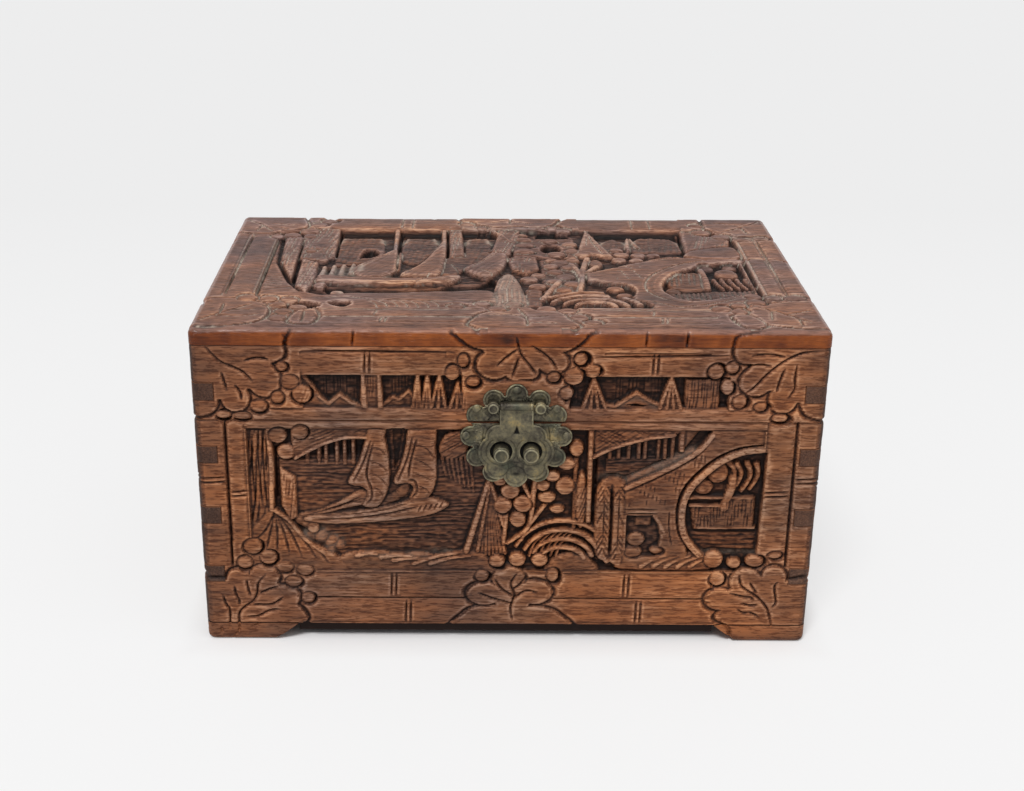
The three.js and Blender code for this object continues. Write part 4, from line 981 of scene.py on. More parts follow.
def top_left_scene(face):
    face.sink(rect(-91, -3, 59, 72.5), 5.0)
    for low, high in ((-90, -67), (-55, -37.5), (-21, -8.5)):
        panel = blob([(low, 16), (low, 54), (low + 4, 58), (high - 4, 58), (high, 54), (high, 16)])
        face.lift(panel, 2.0, drop=0.6)
        face.hatch(panel, 82, 4, 0.3, seed=int(-low))
        face.powder(stroke([(low, 50), (low + 2, 58), (high - 2, 58), (high, 50)], 3), 0.5)
    folds = polygon([(-111, 18), (-112, 60), (-108, 74), (-92, 72), (-91, 20), (-99, 14)])
    thatch(face, folds, 0.7, 84, 3.6, seed=72, deep=0.8)
    face.cut([(-91.3, 72), (-91, 44), (-90.6, 22)], 1.8, 2.5, taper=False)
    slope = polygon([(-124, 56), (-121, 10), (-112, -22), (-103, -40), (-124, -44)])
    thatch(face, slope, 0.8, 22, 3.8, seed=73, deep=0.6)
    trunk = polygon([(-121, 56), (-111.5, 56), (-110, 10), (-110.5, -16), (-119, 10)])
    thatch(face, trunk, 0.4, 88, 3, seed=74, deep=0.9)
    face.cut([(-110.5, 52), (-110, 10), (-109, -20)], 1.8, 2.4)
    face.cut([(-119.5, 20), (-115, -6), (-106, -30), (-100, -37)], 1.5, 1.4)
    second = polygon([(-108, 16), (-99, 10), (-98, -24), (-101, -38), (-107, -30)])
    thatch(face, second, 0.4, 86, 2.6, seed=75, deep=0.9)
    face.lift(stroke([(-104, 44), (-97, 24)], 5, 3), 0.6, drop=0.5)
    fruit(face, [(-97.5, 15.5, 3.2), (-105, 31, 3.6, 3), (-85, -40, 3.4, 3), (-94.5, -28, 3.6, 4)], 0.6)
    face.sink(blob([(-79, 22), (-78, 32), (-74.5, 38), (-70, 37), (-67, 29), (-71, 22), (-76, 20)]), 6.4)
    face.lift(rect(-91, -60, -16, 19), 2.6)
    face.sink(polygon([(-98, 10), (-92, 8), (-76, 14), (-72, 6), (-86, 6), (-92, -2), (-98, 0)]), 5.8)
    for k in range(5):
        x = -95.5 + 4.9 * k
        post = stroke([(x, -10 + k), (x + 0.5, 4 + 1.6 * k)], 2.6, 2.2)
        face.lift(post, 1.4, drop=0.4, edge=0.9)
        face.powder(post, 0.5)
    face.sink(blob([(-79, -6), (-73, -6), (-71, -10), (-75, -13)]), 5.6)
    sails = (
        [(-80, 0), (-72, 14), (-64, 28), (-58.5, 34), (-56, 26), (-55.8, 8), (-57, -4), (-64, -13),
         (-74, -18)],
        [(-55, -10), (-47, 4), (-41, 22), (-35.5, 46), (-32.6, 56), (-31.8, 34), (-32.6, 10), (-35, -10),
         (-44, -15)],
        [(-22, 0), (-14, 14), (-7, 30), (-2, 34), (0.5, 22), (-1.5, 4), (-6, -8), (-12, -14)],
    )
    for outline in sails:
        shape = blob(outline)
        face.lift(shape, 0.3, drop=0.9, edge=2.5)
        (x0, z0), (x1, z1) = outline[0], outline[3]
        face.cut([(x0 + 2.6, z0), ((x0 + x1) / 2 + 1.8, (z0 + z1) / 2), (x1 + 1, z1 - 3)], 1.1, 0.9)
        face.hatch(shape, 62, 4.2, 0.22, seed=int(-x0))
    for x in (-57.6, -31.4):
        face.cut([(x + 0.6, 76), (x, 30), (x + 0.8, -6)], 1.8, 2.2)
        face.lift(stroke([(x - 2.4, 74), (x - 2, 34)], 2.4, 1.6), 0.9, drop=0.4, edge=0.8)
    sheaf = polygon([(-31, 72), (-24, 72), (-22, 22), (-30, 20)])
    thatch(face, sheaf, 0.9, 86, 2.6, seed=76)
    face.lift(polygon([(-33, 20), (-24, 24), (-14, 24), (-20, 4), (-28, -10), (-34, -8)]), 1.6)
    face.cut([(-29, 10), (-26, 0), (-24, -8)], 1.3, 0.9)
    face.cut([(-14, -2), (-8, -8), (-10, -18), (-14, -22)], 1.3, 1.0)
    deck = blob([(-97, -12), (-80, -15), (-62, -16), (-44, -16), (-30, -12), (-24, -12), (-26, -18),
                 (-34, -22), (-60, -24), (-90, -23)])
    face.lift(deck, 0.5, drop=0.7)
    face.lift(stroke([(-96, -20.5), (-70, -22.6), (-48, -22.4), (-36, -19), (-26, -15)], 3.4, 2.4), 0.1,
              drop=0.5, edge=1.2)
    face.cut([(-40, -9), (-42, -17), (-48, -25)], 1.3, 1.4)
    face.sink(blob([(-91, -25), (-62, -26), (-42, -26), (-28, -20), (-16, -19), (-6, -10), (-5, -30),
                    (-14, -35), (-40, -37.5), (-70, -38), (-89, -38)]), 6.3)
    bank = blob([(-122, -42), (-104, -39), (-92, -44), (-80, -41), (-56, -40), (-30, -37.5), (-10, -36),
                 (-6, -46), (-8, -62), (-60, -65.5), (-122, -64)])
    face.lift(bank, 0.3, drop=0.9, edge=3)
    face.powder(stroke([(-84, -40.5), (-50, -39), (-16, -36)], 2.4), 0.5)
    face.cut([(-94, -49.5), (-80, -48), (-66, -52), (-40, -53.5), (-14, -53)], 1.5, 1.1)
    face.sink(blob([(-105, -53), (-96, -55), (-91, -59), (-93, -65), (-104, -61)]), 5.2)
    face.sink(blob([(-88, -55), (-80, -53), (-76, -58), (-80, -64), (-87, -60)]), 5.2)
    for k in range(7):
        x = -69 + 5 * k
        face.cut([(x, -54), (x + 4, -58), (x + 5.4, -65)], 1.2, 0.8)


def top_middle_scene(face):
    face.sink(blob([(-17, 62), (-16, 72), (-10, 74), (-8, 62), (-11, 58)]), 5.8)
    face.sink(blob([(17, 60), (18, 72), (34, 72), (36, 60), (26, 57)]), 5.8)
    palm = polygon([(-9, 26), (-5, 52), (-3, 72), (6, 74), (8, 58), (4, 40), (2, 26)])
    thatch(face, palm, 0.8, 78, 2.8, seed=77)
    for tip in ((-7, 72), (8, 70), (12, 62)):
        face.lift(stroke([(3, 48), ((3 + tip[0]) / 2, 62), tip], 2.2, 1.2), 0.5, drop=0.4, edge=0.9)
    face.lift(rect(4, 38, 22, 58), 1.6)
    fruit(face, [(10, 54, 5.2, 4), (10.5, 43.5, 5.4, 3.6), (10, 32, 5.6, 4), (24, 52, 5, 3.6),
                 (35, 46, 4.4, 4), (36, 33, 4, 3.8), (27, 27.5, 5, 4.4), (41, 27, 4.4, 3.8)], 0.5)
    face.sink(disc(24.5, 38.5, 6.4, 9.2), 6.4)
    straw = polygon([(0, 22), (16, 22), (17, 2), (10, -8), (3, 0)])
    thatch(face, straw, 1.1, 84, 2.8, seed=78)
    column = blob([(-7.5, -60), (-7, -36), (-4, -14), (0, -8.5), (4, -12), (7.5, -34), (9, -60)])
    face.lift(column, 0.3, drop=1.4, edge=4)
    face.hatch(column, 86, 3.4, 1.0, seed=79)
    face.powder(column, 0.22)
    spots = ((11, -16, 4.6, 4), (16, -10, 4, 3.4), (15, -28, 4.4, 3.8), (28, 12, 5, 4.4), (33, 4, 4.4, 4),
             (25, -4, 4.4, 4), (30, -12, 5, 4.4), (24, -20, 4.2, 4), (33, -24, 4.6, 4.2), (28, -33, 4.4, 3.8),
             (24, 16, 3.6, 3.2), (35, 16, 4, 3.6), (23, 6, 4, 3.4), (47, 11, 3.8, 6))
    face.lift(rect(18, 38, -38, 20), 1.9)
    fruit(face, spots, 0.6)
    for points in ([(43, 18), (40, 2), (38, -20), (36, -36)], [(34, 8), (37, -4), (38, -14)],
                   [(26, -22), (21, -36), (17, -48)], [(47, 4), (41, -6)]):
        face.lift(stroke(points, 3.2, 2.2), 0.3, drop=0.5, edge=1.1)
    face.lift(polygon([(9, -32), (17, -34), (16, -58), (9, -58)]), 1.3)
    face.hatch(rect(9, 17, -58, -34), 86, 2.6, 0.9, seed=80)
    face.sink(blob([(19, -46), (29, -40), (31, -42), (22, -52)]), 4.8)
    peak = polygon([(45.6, 74), (41, 46), (39, 30), (58, 20), (52, 44)])
    face.lift(peak, 0.5, drop=0.6)
    face.cut([(46, 72), (48, 46), (52, 26)], 1.3, 0.9)
    face.cut([(45.4, 60), (44, 40)], 1.1, 0.7)
    for k, radius in enumerate((8, 13, 18, 23)):
        arc = [(42 + 1.25 * radius * math.cos(math.radians(t)), -60 + radius * math.sin(math.radians(t)))
               for t in range(12, 172, 16)]
        face.lift(stroke(arc, 3.0, 1.6), 0.5 + 0.2 * (k % 2), drop=0.6, edge=1.2)
    for k in range(8):
        x = 22 + 5 * k
        face.cut([(x + (x - 40) * 0.3, -62), (x, -52)], 1.2, 1.0, smooth=False)


def top_right_scene(face):
    face.sink(rect(49, 97, 57, 72), 5.2)
    for low, high, rise in ((52, 67, 57), (69.5, 96, 60)):
        middle = (low + high) / 2
        panel = blob([(low, 34), (low, 50), (low + 4, rise - 1), (middle, rise + 1), (high - 4, rise - 2),
                      (high, 48), (high, 34)])
        face.lift(panel, 1.8, drop=0.7)
        fold = [(low, 48), (low + 3, rise), (middle, rise + 1.6), (high - 3, rise - 1), (high, 46)]
        face.powder(stroke(fold, 2.6), 0.5)
        face.hatch(panel, 84, 4, 0.3, seed=int(low))
    face.lift(stroke([(67.6, 56), (66, 36)], 1.6, 2.4), 0.7, drop=0.4, edge=0.9)
    face.lift(stroke([(69, 56), (72, 40)], 1.4, 1.8), 0.8, drop=0.4, edge=0.9)
    thatch(face, polygon([(98.5, 72), (108, 66), (124, 54), (122, 44), (106, 38), (97, 32)]), 0.7, 78, 3.2,
           seed=81)
    face.cut([(97.8, 70), (96, 46), (96.5, 30)], 1.8, 2.4)
    roof = blob([(97, 30), (104, 36), (114, 40), (124, 40), (125, 22), (108, 20), (96, 23)])
    face.lift(roof, 0.6, drop=0.7)
    fruit(face, [(62, 28, 4.4, 3.6), (71, 27, 4.2, 3.4), (79, 27, 3.8, 3.2), (60, 18, 4, 3.6),
                 (69, 17.5, 4, 3), (60, 36, 4, 3)], 0.8)
    wall = polygon([(41, -8), (58, 4), (76, 16), (88, 23), (104, 18), (122, 17), (124, 10), (124, -64),
                    (90, -64), (62, -50), (62, -36), (50, -22), (41, -18)])
    face.lift(wall, 0.4, drop=0.6)
    face.cut([(44, -6), (58, 4.5), (74, 13), (86, 18.5)], 1.4, 1.2)
    for k in range(26):
        u, v = (0.618 * k) % 1, (0.7548 * k) % 1
        x, z = 56 + 14 * u, -18 + 24 * v
        face.cut([(x, z), (x + 0.3, z + 3.4)], 0.9, 0.5, smooth=False)
    face.sink(blob([(47, -23), (58, -24), (64, -32), (62, -44), (52, -46), (47, -36)]), 3.4)
    fruit(face, [(54, -30, 4.4, 3.8), (58, -40, 4, 3.6)], 1.2)
    ring = [(123, 14.5), (112, 13.5), (102, 10), (92, 2.5), (84, -6.5), (78, -17), (75, -28), (75.5, -39),
            (80, -48), (87, -54)]
    hollow = polygon([*curve(ring), (100, -50), (112, -44), (124, -38)])
    face.sink(hollow, 4.4)
    face.cut([(x - 5.6, y + 2.2) for x, y in ring[1:]], 1.5, 1.4)
    face.lift(stroke(ring, 5.4), 0.1, drop=0.5, edge=1.6)
    face.sink(stroke([(x + 3.8, y - 2) for x, y in ring[1:7]], 1.8, 1.0), 5.6)
    fruit(face, [(83, -32, 4, 4.2), (104, 6, 4.4, 3.6), (117, 8, 4, 3.4)], 1.8)
    screen = blob([(84, -30), (82, -14), (90, -4), (98, -2), (102, -12), (101, -28)])
    thatch(face, screen, 1.8, 84, 3.2, seed=82)
    face.lift(stroke([(101, 2), (101.5, -14), (100.5, -28)], 3, 3.6), 1.0, drop=0.5)
    face.lift(blob([(108, -2), (112, 2), (118, 0), (119, -8), (114, -11), (109, -8)]), 1.0, drop=0.8, edge=3)
    for k in range(5):
        x = 106 + 4 * k
        face.lift(stroke([(x, -12), (x + 1, -20), (x + 3, -27)], 2, 1.2), 1.9, drop=0.4, edge=0.8)
    grass = polygon([(80, -36), (124, -30), (124, -48), (86, -48)])
    face.lift(grass, 1.9)
    face.hatch(grass, 88, 3.2, 1.2, seed=83)
    bank = blob([(74, -50), (84, -56), (96, -52), (110, -46), (122, -40), (122, -60), (100, -65), (72, -64)])
    face.lift(bank, 0.4, drop=0.7, edge=2.5)
    face.cut([(70, -52), (80, -60), (86, -61), (100, -55), (112, -48)], 1.5, 1.1)


def carve_top(face):
    face.sink(rect(-125.4, 126.6, -64.5, 72.5), 3.4)
    top_left_scene(face)
    top_middle_scene(face)
    top_right_scene(face)
    top_frame(face)
    for each in SLAB_CLUSTERS:
        cluster(face, moat=SLAB_LEAF_MOAT, **each)
    crack = [(-9, 32.5), (-2, 28), (0.5, 27), (13, 25), (22, 21.5), (37, 21.5), (46, 20), (51, 17.5),
             (58, 22), (70, 22), (79, 24), (86, 25), (90, 20.5), (101, 19.5), (106, 17), (113, 18.5),
             (121, 18), (124, 15.5), (130, 17), (142, 16.5), (148, 11), (150, 4)]
    face.cut(crack, 1.5, 2.6, taper=False)


FACES = [
    dict(turn=0, reach=HALF_W, out=HALF_D, carve=carve_front),
    dict(turn=90, reach=HALF_D, out=HALF_W, carve=carve_right),
    dict(turn=180, reach=HALF_W, out=HALF_D, carve=carve_back),
    dict(turn=270, reach=HALF_D, out=HALF_W, carve=carve_left),
]


# Meshes of the carved boards
WOOD_SHARP_ANGLE = 84
DEEPEST = 8
EDGE_WEAR, EDGE_REACH = 0.35, 0.9
JOINT_WEAR, JOINT_REACH = 0.3, 0.7
# Tone of the carving: painted shade, down to LOWEST_TONE at DARK_DEPTH and deeper
LOWEST_TONE, TONE_SPAN, DARK_DEPTH = 0.20, 0.50, 4.8
CORNER_FANS = 4


def samples(breaks, step):
    """Rising samples about a step apart, which hit every break exactly."""
    out = [breaks[0]]
    for low, high in zip(breaks, breaks[1:]):
        count = max(1, round((high - low) / step))
        out.extend(np.linspace(low, high, count + 1)[1:])
    return np.array(out)


def blurred(field, radius):
    """The field averaged over a window, edge values held beyond the grid."""
    out = field
    for axis in (0, 1):
        n = max(1, int(round(radius)))
        pad = [(0, 0), (0, 0)]
        pad[axis] = (n, n)
        padded = np.pad(out, pad, mode="edge")
        total = np.cumsum(padded, axis=axis)
        zero = np.zeros_like(np.take(total, [0], axis=axis))
        total = np.concatenate([zero, total], axis=axis)
        size = out.shape[axis]
        upper = np.take(total, range(2 * n + 1, 2 * n + 1 + size), axis=axis)
        lower = np.take(total, range(size), axis=axis)
        out = (upper - lower) / (2 * n + 1)
    return out


def finish_relief(face, seed):
    """Tool marks, worn surfaces and a rough ground in the deep places."""
    a, b = face.a[:, None], face.b[None, :]
    deep = smoothstep(face.depth / 3)
    face.depth += 0.07 * rough(a, b, 7, 1.2, seed) * (1 - deep)
    face.depth += 0.16 * rough(a, b, 9, 6, seed + 2)
    face.depth += 0.35 * deep * rough(a, b, 2.6, 1.6, seed + 1)
    face.depth = np.clip(face.depth, 0, DEEPEST)


def relief_of(turn, a, z):
    """The carving of the face that is turned so far, on a grid of its own."""
    face = Relief(a, z)
    FACES[turn // 90]["carve"](face)
    finish_relief(face, 70 + turn)
    return face


def linked(name, data):
    obj = bpy.data.objects.new(name, data)
    bpy.context.scene.collection.objects.link(obj)
    return obj


def mesh_object(name, body, node, verts, faces, slots, layers, material_names):
    """A carved piece from vertices in millimetres, with a material slot for each face."""
    used = np.unique(np.concatenate([np.asarray(f, int) for f in faces]))
    remap = np.full(len(verts), -1)
    remap[used] = np.arange(len(used))
    mesh = bpy.data.meshes.new(name)
    mesh.from_pydata((verts[used] * MM).tolist(), [], [remap[np.asarray(f, int)].tolist() for f in faces])
    mesh.polygons.foreach_set("material_index", slots)
    for key, values in layers.items():
        layer = mesh.attributes.new(key, "FLOAT", "POINT")
        layer.data.foreach_set("value", values[used].astype(np.float32))
    mesh.shade_smooth()
    mesh.set_sharp_from_angle(angle=math.radians(WOOD_SHARP_ANGLE))
    mesh.polygons.foreach_set("use_smooth", slots == 0)
    mesh.update()
    obj = linked(name, mesh)
    for material in material_names:
        mesh.materials.append(MATERIALS[material])
    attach(obj, body)
    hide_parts(node)
    return obj


def turned(plan_x, plan_y, turn):
    """Plan places of the front turned to another side of the box, by degrees."""
    c, s = math.cos(math.radians(turn)), math.sin(math.radians(turn))
    return c * plan_x - s * plan_y, s * plan_x + c * plan_y + MID_Y


class BoardPath:
    """A board's outer line in plan: along one end strip, round the corner, across the face and back."""

    def __init__(self, reach, out, cut_at):
        self.flat = samples([-reach + CORNER_RADIUS, -cut_at, cut_at, reach - CORNER_RADIUS], GRID)
        strip = np.linspace(WALL, CORNER_RADIUS, 12)[:-1]
        arc = np.linspace(0, 1, ARC_STEPS + 1)[:-1]
        angle = arc * math.pi / 2
        x = np.concatenate([np.full(len(strip), reach),
                            reach - CORNER_RADIUS + CORNER_RADIUS * np.cos(angle)])
        y = np.concatenate([-out + strip, -out + CORNER_RADIUS - CORNER_RADIUS * np.sin(angle)])
        nx = np.concatenate([np.ones(len(strip)), np.cos(angle)])
        ny = np.concatenate([np.zeros(len(strip)), -np.sin(angle)])
        face = np.ones(len(self.flat))
        self.x = np.concatenate([-x, self.flat, x[::-1]])
        self.y = np.concatenate([y, -out * face, y[::-1]])
        self.nx = np.concatenate([-nx, 0 * face, nx[::-1]])
        self.ny = np.concatenate([ny, -face, ny[::-1]])
        self.corner = len(x)
        self.share = np.concatenate([np.ones(len(strip)), 1 - arc])
        self.away = np.concatenate([strip, CORNER_RADIUS * (1 - np.sin(angle))])
        self.left = self.corner + int(np.argmin(abs(self.flat + cut_at)))
        self.right = len(self.x) - 1 - self.left


def board_depth(path, turn, z):
    """Depth and dust along the path: the face's own carving, and its neighbours' on the strips."""
    corner = path.corner
    reach = FACES[turn // 90]["reach"]
    past = reach + 4 + np.arange(corner) * 0.01
    own = relief_of(turn, np.concatenate([past - 2 * (reach + 4), path.flat, past]), z)
    depth = own.depth
    depth[:corner] = depth[corner]
    depth[-corner:] = depth[-corner - 1]
    for end in (-1, 1):
        neighbour = FACES[(turn // 90 + end) % 4]
        h = -end * (neighbour["reach"] - path.away)
        order = np.argsort(h)
        other = relief_of(neighbour["turn"], h[order], z)
        beside = np.empty_like(other.depth)
        beside[order] = other.depth
        weight = path.share[:, None]
        if end > 0:
            beside, weight = beside[::-1], weight[::-1]
        at = slice(0, corner) if end < 0 else slice(-corner, None)
        depth[at] = depth[at] * (1 - weight) + beside * weight
    return depth, own.dust


def worn_edges(depth, path, turn, z, tenons, cut_at):
    """The bevel that the lid stops on, worn edges, and the joints round the neighbours' tenons."""
    z0, z1 = z[0], z[-1]
    if turn == 180:
        rise = (z1 - z) if z1 < SPLIT else (z - z0)
        bevel = HINGE_INSET + FIT - rise * math.tan(math.radians(90 - STOP_BEVEL))
        back = np.abs(path.ny)[:, None]
        depth = np.maximum(depth, (bevel[None, :] - CORNER_RADIUS * (1 - back)) / np.maximum(back, 0.3))
    settle = np.minimum(abs(z - z0), abs(z - z1))
    depth += EDGE_WEAR * (1 - np.clip(settle / EDGE_REACH, 0, 1))[None, :] ** 2
    for tenon in tenons:
        low, high = tenon - FIT, tenon + TENON_HEIGHT + FIT
        outside = np.maximum(np.maximum(low - z, z - high)[None, :],
                             (cut_at - np.abs(path.x))[:, None])
        depth += JOINT_WEAR * np.clip(1 - outside / JOINT_REACH, 0, 1) ** 2
    return depth


def board_faces(path, grid, rows, bands, inner):
    """Quads of the carved skin, and the plain faces: the ends, the edges and the inner face."""
    left, right, last = path.left, path.right, len(grid) - 1
    quads, plain = [], []
    for low, high, full in bands:
        c0, c1 = (0, last) if full else (left, right)
        skin = grid[c0:c1 + 1, low:high + 1]
        quads.append(np.stack([skin[:-1, :-1], skin[1:, :-1], skin[1:, 1:], skin[:-1, 1:]],
                              -1).reshape(-1, 4))
        if not full:
            plain.append([*grid[left, low:high + 1], inner[left, high], inner[left, low]])
            plain.append([*grid[right, low:high + 1], inner[right, high], inner[right, low]][::-1])

    def cap(row, c0, c1, up):
        ring = list(grid[c0:c1 + 1, row])
        ring += [inner[column, row] for column in (c1, c0) if column in (left, right)]
        plain.append(ring if up else ring[::-1])

    for row, (_, _, full), up in ((rows[0], bands[0], False), (rows[-1], bands[-1], True)):
        cap(row, *((0, last) if full else (left, right)), up)
    for low, high, full in bands[:-1]:
        cap(high, 0, left, full)
        cap(high, right, last, full)
    edges = [[], []]
    for low, high, full in bands:
        for edge, end, column in zip(edges, (0, last), (left, right)):
            edge.extend(grid[end, low:high + 1] if full else [inner[column, low], inner[column, high]])
    plain.append(edges[0] + edges[1][::-1])
    return quads, plain


def carved_board(name, body, turn, z0, z1, tenons, has_tenons):
    """A wall board: its carved skin round both corners, its ends, edges and plain inner face."""
    reach, out = FACES[turn // 90]["reach"], FACES[turn // 90]["out"]
    cut_at = reach - WALL - FIT
    gap = 0 if has_tenons else FIT
    breaks = [z0]
    for tenon in tenons:
        breaks += [tenon - gap, tenon + TENON_HEIGHT + gap]
    breaks.append(z1)
    z = samples(breaks, GRID)
    rows = [int(np.argmin(abs(z - level))) for level in breaks]
    bands = [(low, high, (k % 2 == 1) == has_tenons) for k, (low, high) in enumerate(zip(rows, rows[1:]))]
    path = BoardPath(reach, out, cut_at)
    depth, dust = board_depth(path, turn, z)
    depth = worn_edges(depth, path, turn, z, [] if has_tenons else tenons, cut_at)
    wx, wy = turned(path.x[:, None] - path.nx[:, None] * depth, path.y[:, None] - path.ny[:, None] * depth,
                    turn)
    verts = np.stack([wx, wy, np.broadcast_to(z, wx.shape)], -1).reshape(-1, 3)
    grid = np.arange(len(verts)).reshape(wx.shape)
    extra, inner = [], {}
    for column in (path.left, path.right):
        for row in rows:
            inner[column, row] = len(verts) + len(extra)
            extra.append((*turned(path.x[column], WALL - out, turn), z[row]))
    verts = np.concatenate([verts, np.array(extra)])
    quads, plain = board_faces(path, grid, rows, bands, inner)
    faces = [*np.concatenate(quads), *plain]
    slots = np.zeros(len(faces), np.int32)
    slots[-len(plain):] = 1
    rounded = np.clip(4 * np.abs(path.nx * path.ny), 0, 1)[:, None]
    end_grain = np.broadcast_to((np.abs(path.nx) > 0.7)[:, None] * 1.0, depth.shape)
    # The carving's tone with its painted shade, darker on the rounded corners, and painted shade just under
    # the top edge, below the piece above
    tone = tone_of(depth) * (1 - 0.2 * rounded - 0.3 * np.clip(1 - (z1 - z) / 0.8, 0, 1))
    pad = np.zeros(len(extra))
    layers = {key: np.concatenate([values.reshape(-1), pad])
              for key, values in (("tone", tone), ("dust", dust), ("endgrain", end_grain))}
    grain = "long" if turn % 180 == 0 else "cross"
    return mesh_object(name, body, name.replace("carved_", ""), verts, faces, slots, layers,
                       ["carved_" + grain, "plain_" + grain])


def tone_of(depth, groove=0.24):
    """1 on worn high spots, 0 in the deepest and tightest places: painted shade, darker with depth and in
    tight grooves, lighter on forms that stand above their surroundings.
    """
    around = blurred(blurred(depth, 1), 1)
    wide = blurred(blurred(depth, 4), 4)
    level = 1 - np.clip(depth / DARK_DEPTH, 0, 1)
    # Painted shade in tight grooves, lighter on forms standing above their surroundings
    standing = np.clip((around - depth) * 1.5, -groove, 0.17) + np.clip((wide - depth) * 0.14, -0.16, 0.16)
    return np.clip(LOWEST_TONE + TONE_SPAN * level + standing, 0, 1)


def carved_slab(name, body):
    """The lid's top board: a carved top, rounded edges and a carved rim."""
    half_x, half_y = HALF_W - SLAB_RADIUS, HALF_D - SLAB_RADIUS
    xs = samples([-half_x, half_x], GRID)
    ys = samples([-half_y, half_y], GRID)
    top = Relief(xs, ys)
    carve_top(top)
    finish_relief(top, 90)
    nx, ny = len(xs), len(ys)
    px, py = np.broadcast_arrays(xs[:, None], ys[None, :])
    verts = [np.stack([px, py + MID_Y, SLAB_Z1 - top.depth], -1).reshape(-1, 3)]
    # Tone with painted shade in the carving; narrow cuts hold pale dust
    tones = [tone_of(top.depth, 0.06).reshape(-1)]
    fine = np.clip(3.2 * (top.depth - blurred(blurred(top.depth, 1), 1)) - 0.15, 0, 1)
    dusts = [np.maximum(top.dust, fine * (1 - smoothstep((top.depth - 1.6) / 1.4))).reshape(-1)]
    glosses = [np.zeros(nx * ny)]
    grid = np.arange(nx * ny).reshape(nx, ny)
    # Rings run outwards and down from the rim of the top; corners are fans
    sides = [(grid[:, 0], xs, 0), (grid[-1, :], ys, 90), (grid[::-1, -1], -xs[::-1], 180),
             (grid[0, ::-1], -ys[::-1], 270)]
    tilt = [math.pi / 2 * t for t in np.linspace(0, 1, ARC_STEPS + 1)[1:]]
    levels = [SLAB_Z1 - SLAB_RADIUS * (1 - math.cos(t)) for t in tilt]
    outs = [SLAB_RADIUS * math.sin(t) for t in tilt]
    straight = samples([0, SLAB_Z1 - SLAB_RADIUS - SLAB_Z0], GRID)[1:]
    levels += [SLAB_Z1 - SLAB_RADIUS - drop for drop in straight]
    outs += [SLAB_RADIUS] * len(straight)
    tilt += [math.pi / 2] * len(straight)
    levels, outs, tilt = map(np.array, (levels, outs, tilt))
    inner, direction, depth_rows = [], [], []
    weight = (tilt / (math.pi / 2))[None, :]
    for loop, h, turn in sides:
        rim_depth = relief_of(turn, h, np.sort(levels)).depth[:, ::-1]
        edge_depth = top.depth.reshape(-1)[loop]
        mixed = edge_depth[:, None] * (1 - weight) + rim_depth * weight
        inner.extend(loop)
        direction.extend([turn] * len(loop))
        depth_rows.append(mixed)
        for step in range(1, CORNER_FANS):
            inner.append(loop[-1])
            direction.append(turn + 90 * step / CORNER_FANS)
            depth_rows.append(mixed[-1:])
    inner = np.array(inner)
    depth_rows = np.concatenate(depth_rows)
    angle = np.radians(np.array(direction))
    out_x, out_y = np.sin(angle), -np.cos(angle)
    base = verts[0][inner]
    push = outs[None, :] - np.sin(tilt)[None, :] * depth_rows
    rise = levels[None, :] - np.cos(tilt)[None, :] * depth_rows
    ring_x = base[:, :1] + out_x[:, None] * push
    ring_y = base[:, 1:2] + out_y[:, None] * push
    rings = np.stack([ring_x, ring_y, rise], -1)
    count, layers_n = rings.shape[:2]
    verts.append(rings.reshape(-1, 3))
    ring_grid = nx * ny + np.arange(count * layers_n).reshape(count, layers_n)
    # The rim's tone, with painted shade in its carving
    tones.append(tone_of(depth_rows).reshape(-1))
    dusts.append(np.zeros(count * layers_n))
    # Gloss: 0.5 on the rounding, which is polished and carries a painted highlight; 1 on the upright side,
    # which is varnished
    gloss = 0.5 * smoothstep(tilt / 0.4) + 0.5 * smoothstep((tilt - 0.95) / 0.3)
    glosses.append(np.broadcast_to(gloss[None, :], (count, layers_n)).reshape(-1))
    faces = list(np.stack([grid[:-1, :-1], grid[1:, :-1], grid[1:, 1:], grid[:-1, 1:]], -1).reshape(-1, 4))
    for i in range(count):
        k = (i + 1) % count
        apart = [inner[k]] if inner[i] != inner[k] else []
        faces.append([inner[i], ring_grid[i, 0], ring_grid[k, 0], *apart])
    below = np.roll(ring_grid, -1, axis=0)
    rim = np.stack([ring_grid[:, :-1], ring_grid[:, 1:], below[:, 1:], below[:, :-1]], -1)
    faces.extend(rim.reshape(-1, 4))
    faces.append(list(ring_grid[:, -1])[::-1])
    slots = np.zeros(len(faces), np.int32)
    slots[-1] = 1
    layers = {"tone": np.concatenate(tones), "dust": np.concatenate(dusts),
              "endgrain": np.zeros(sum(map(len, tones))), "gloss": np.concatenate(glosses)}
    return mesh_object(name, body, "lid_top_board", np.concatenate(verts), faces, slots, layers,
                       ["carved_slab", "plain_long"])


# Materials

MATERIALS = {}


def rgb(r, g, b):
    """A colour as it is seen on screen, 0 to 255, turned into the linear values that nodes use."""
    linear = (((c / 255 + 0.055) / 1.055) ** 2.4 if c > 10 else c / 255 / 12.92 for c in (r, g, b))
    return (*linear, 1)


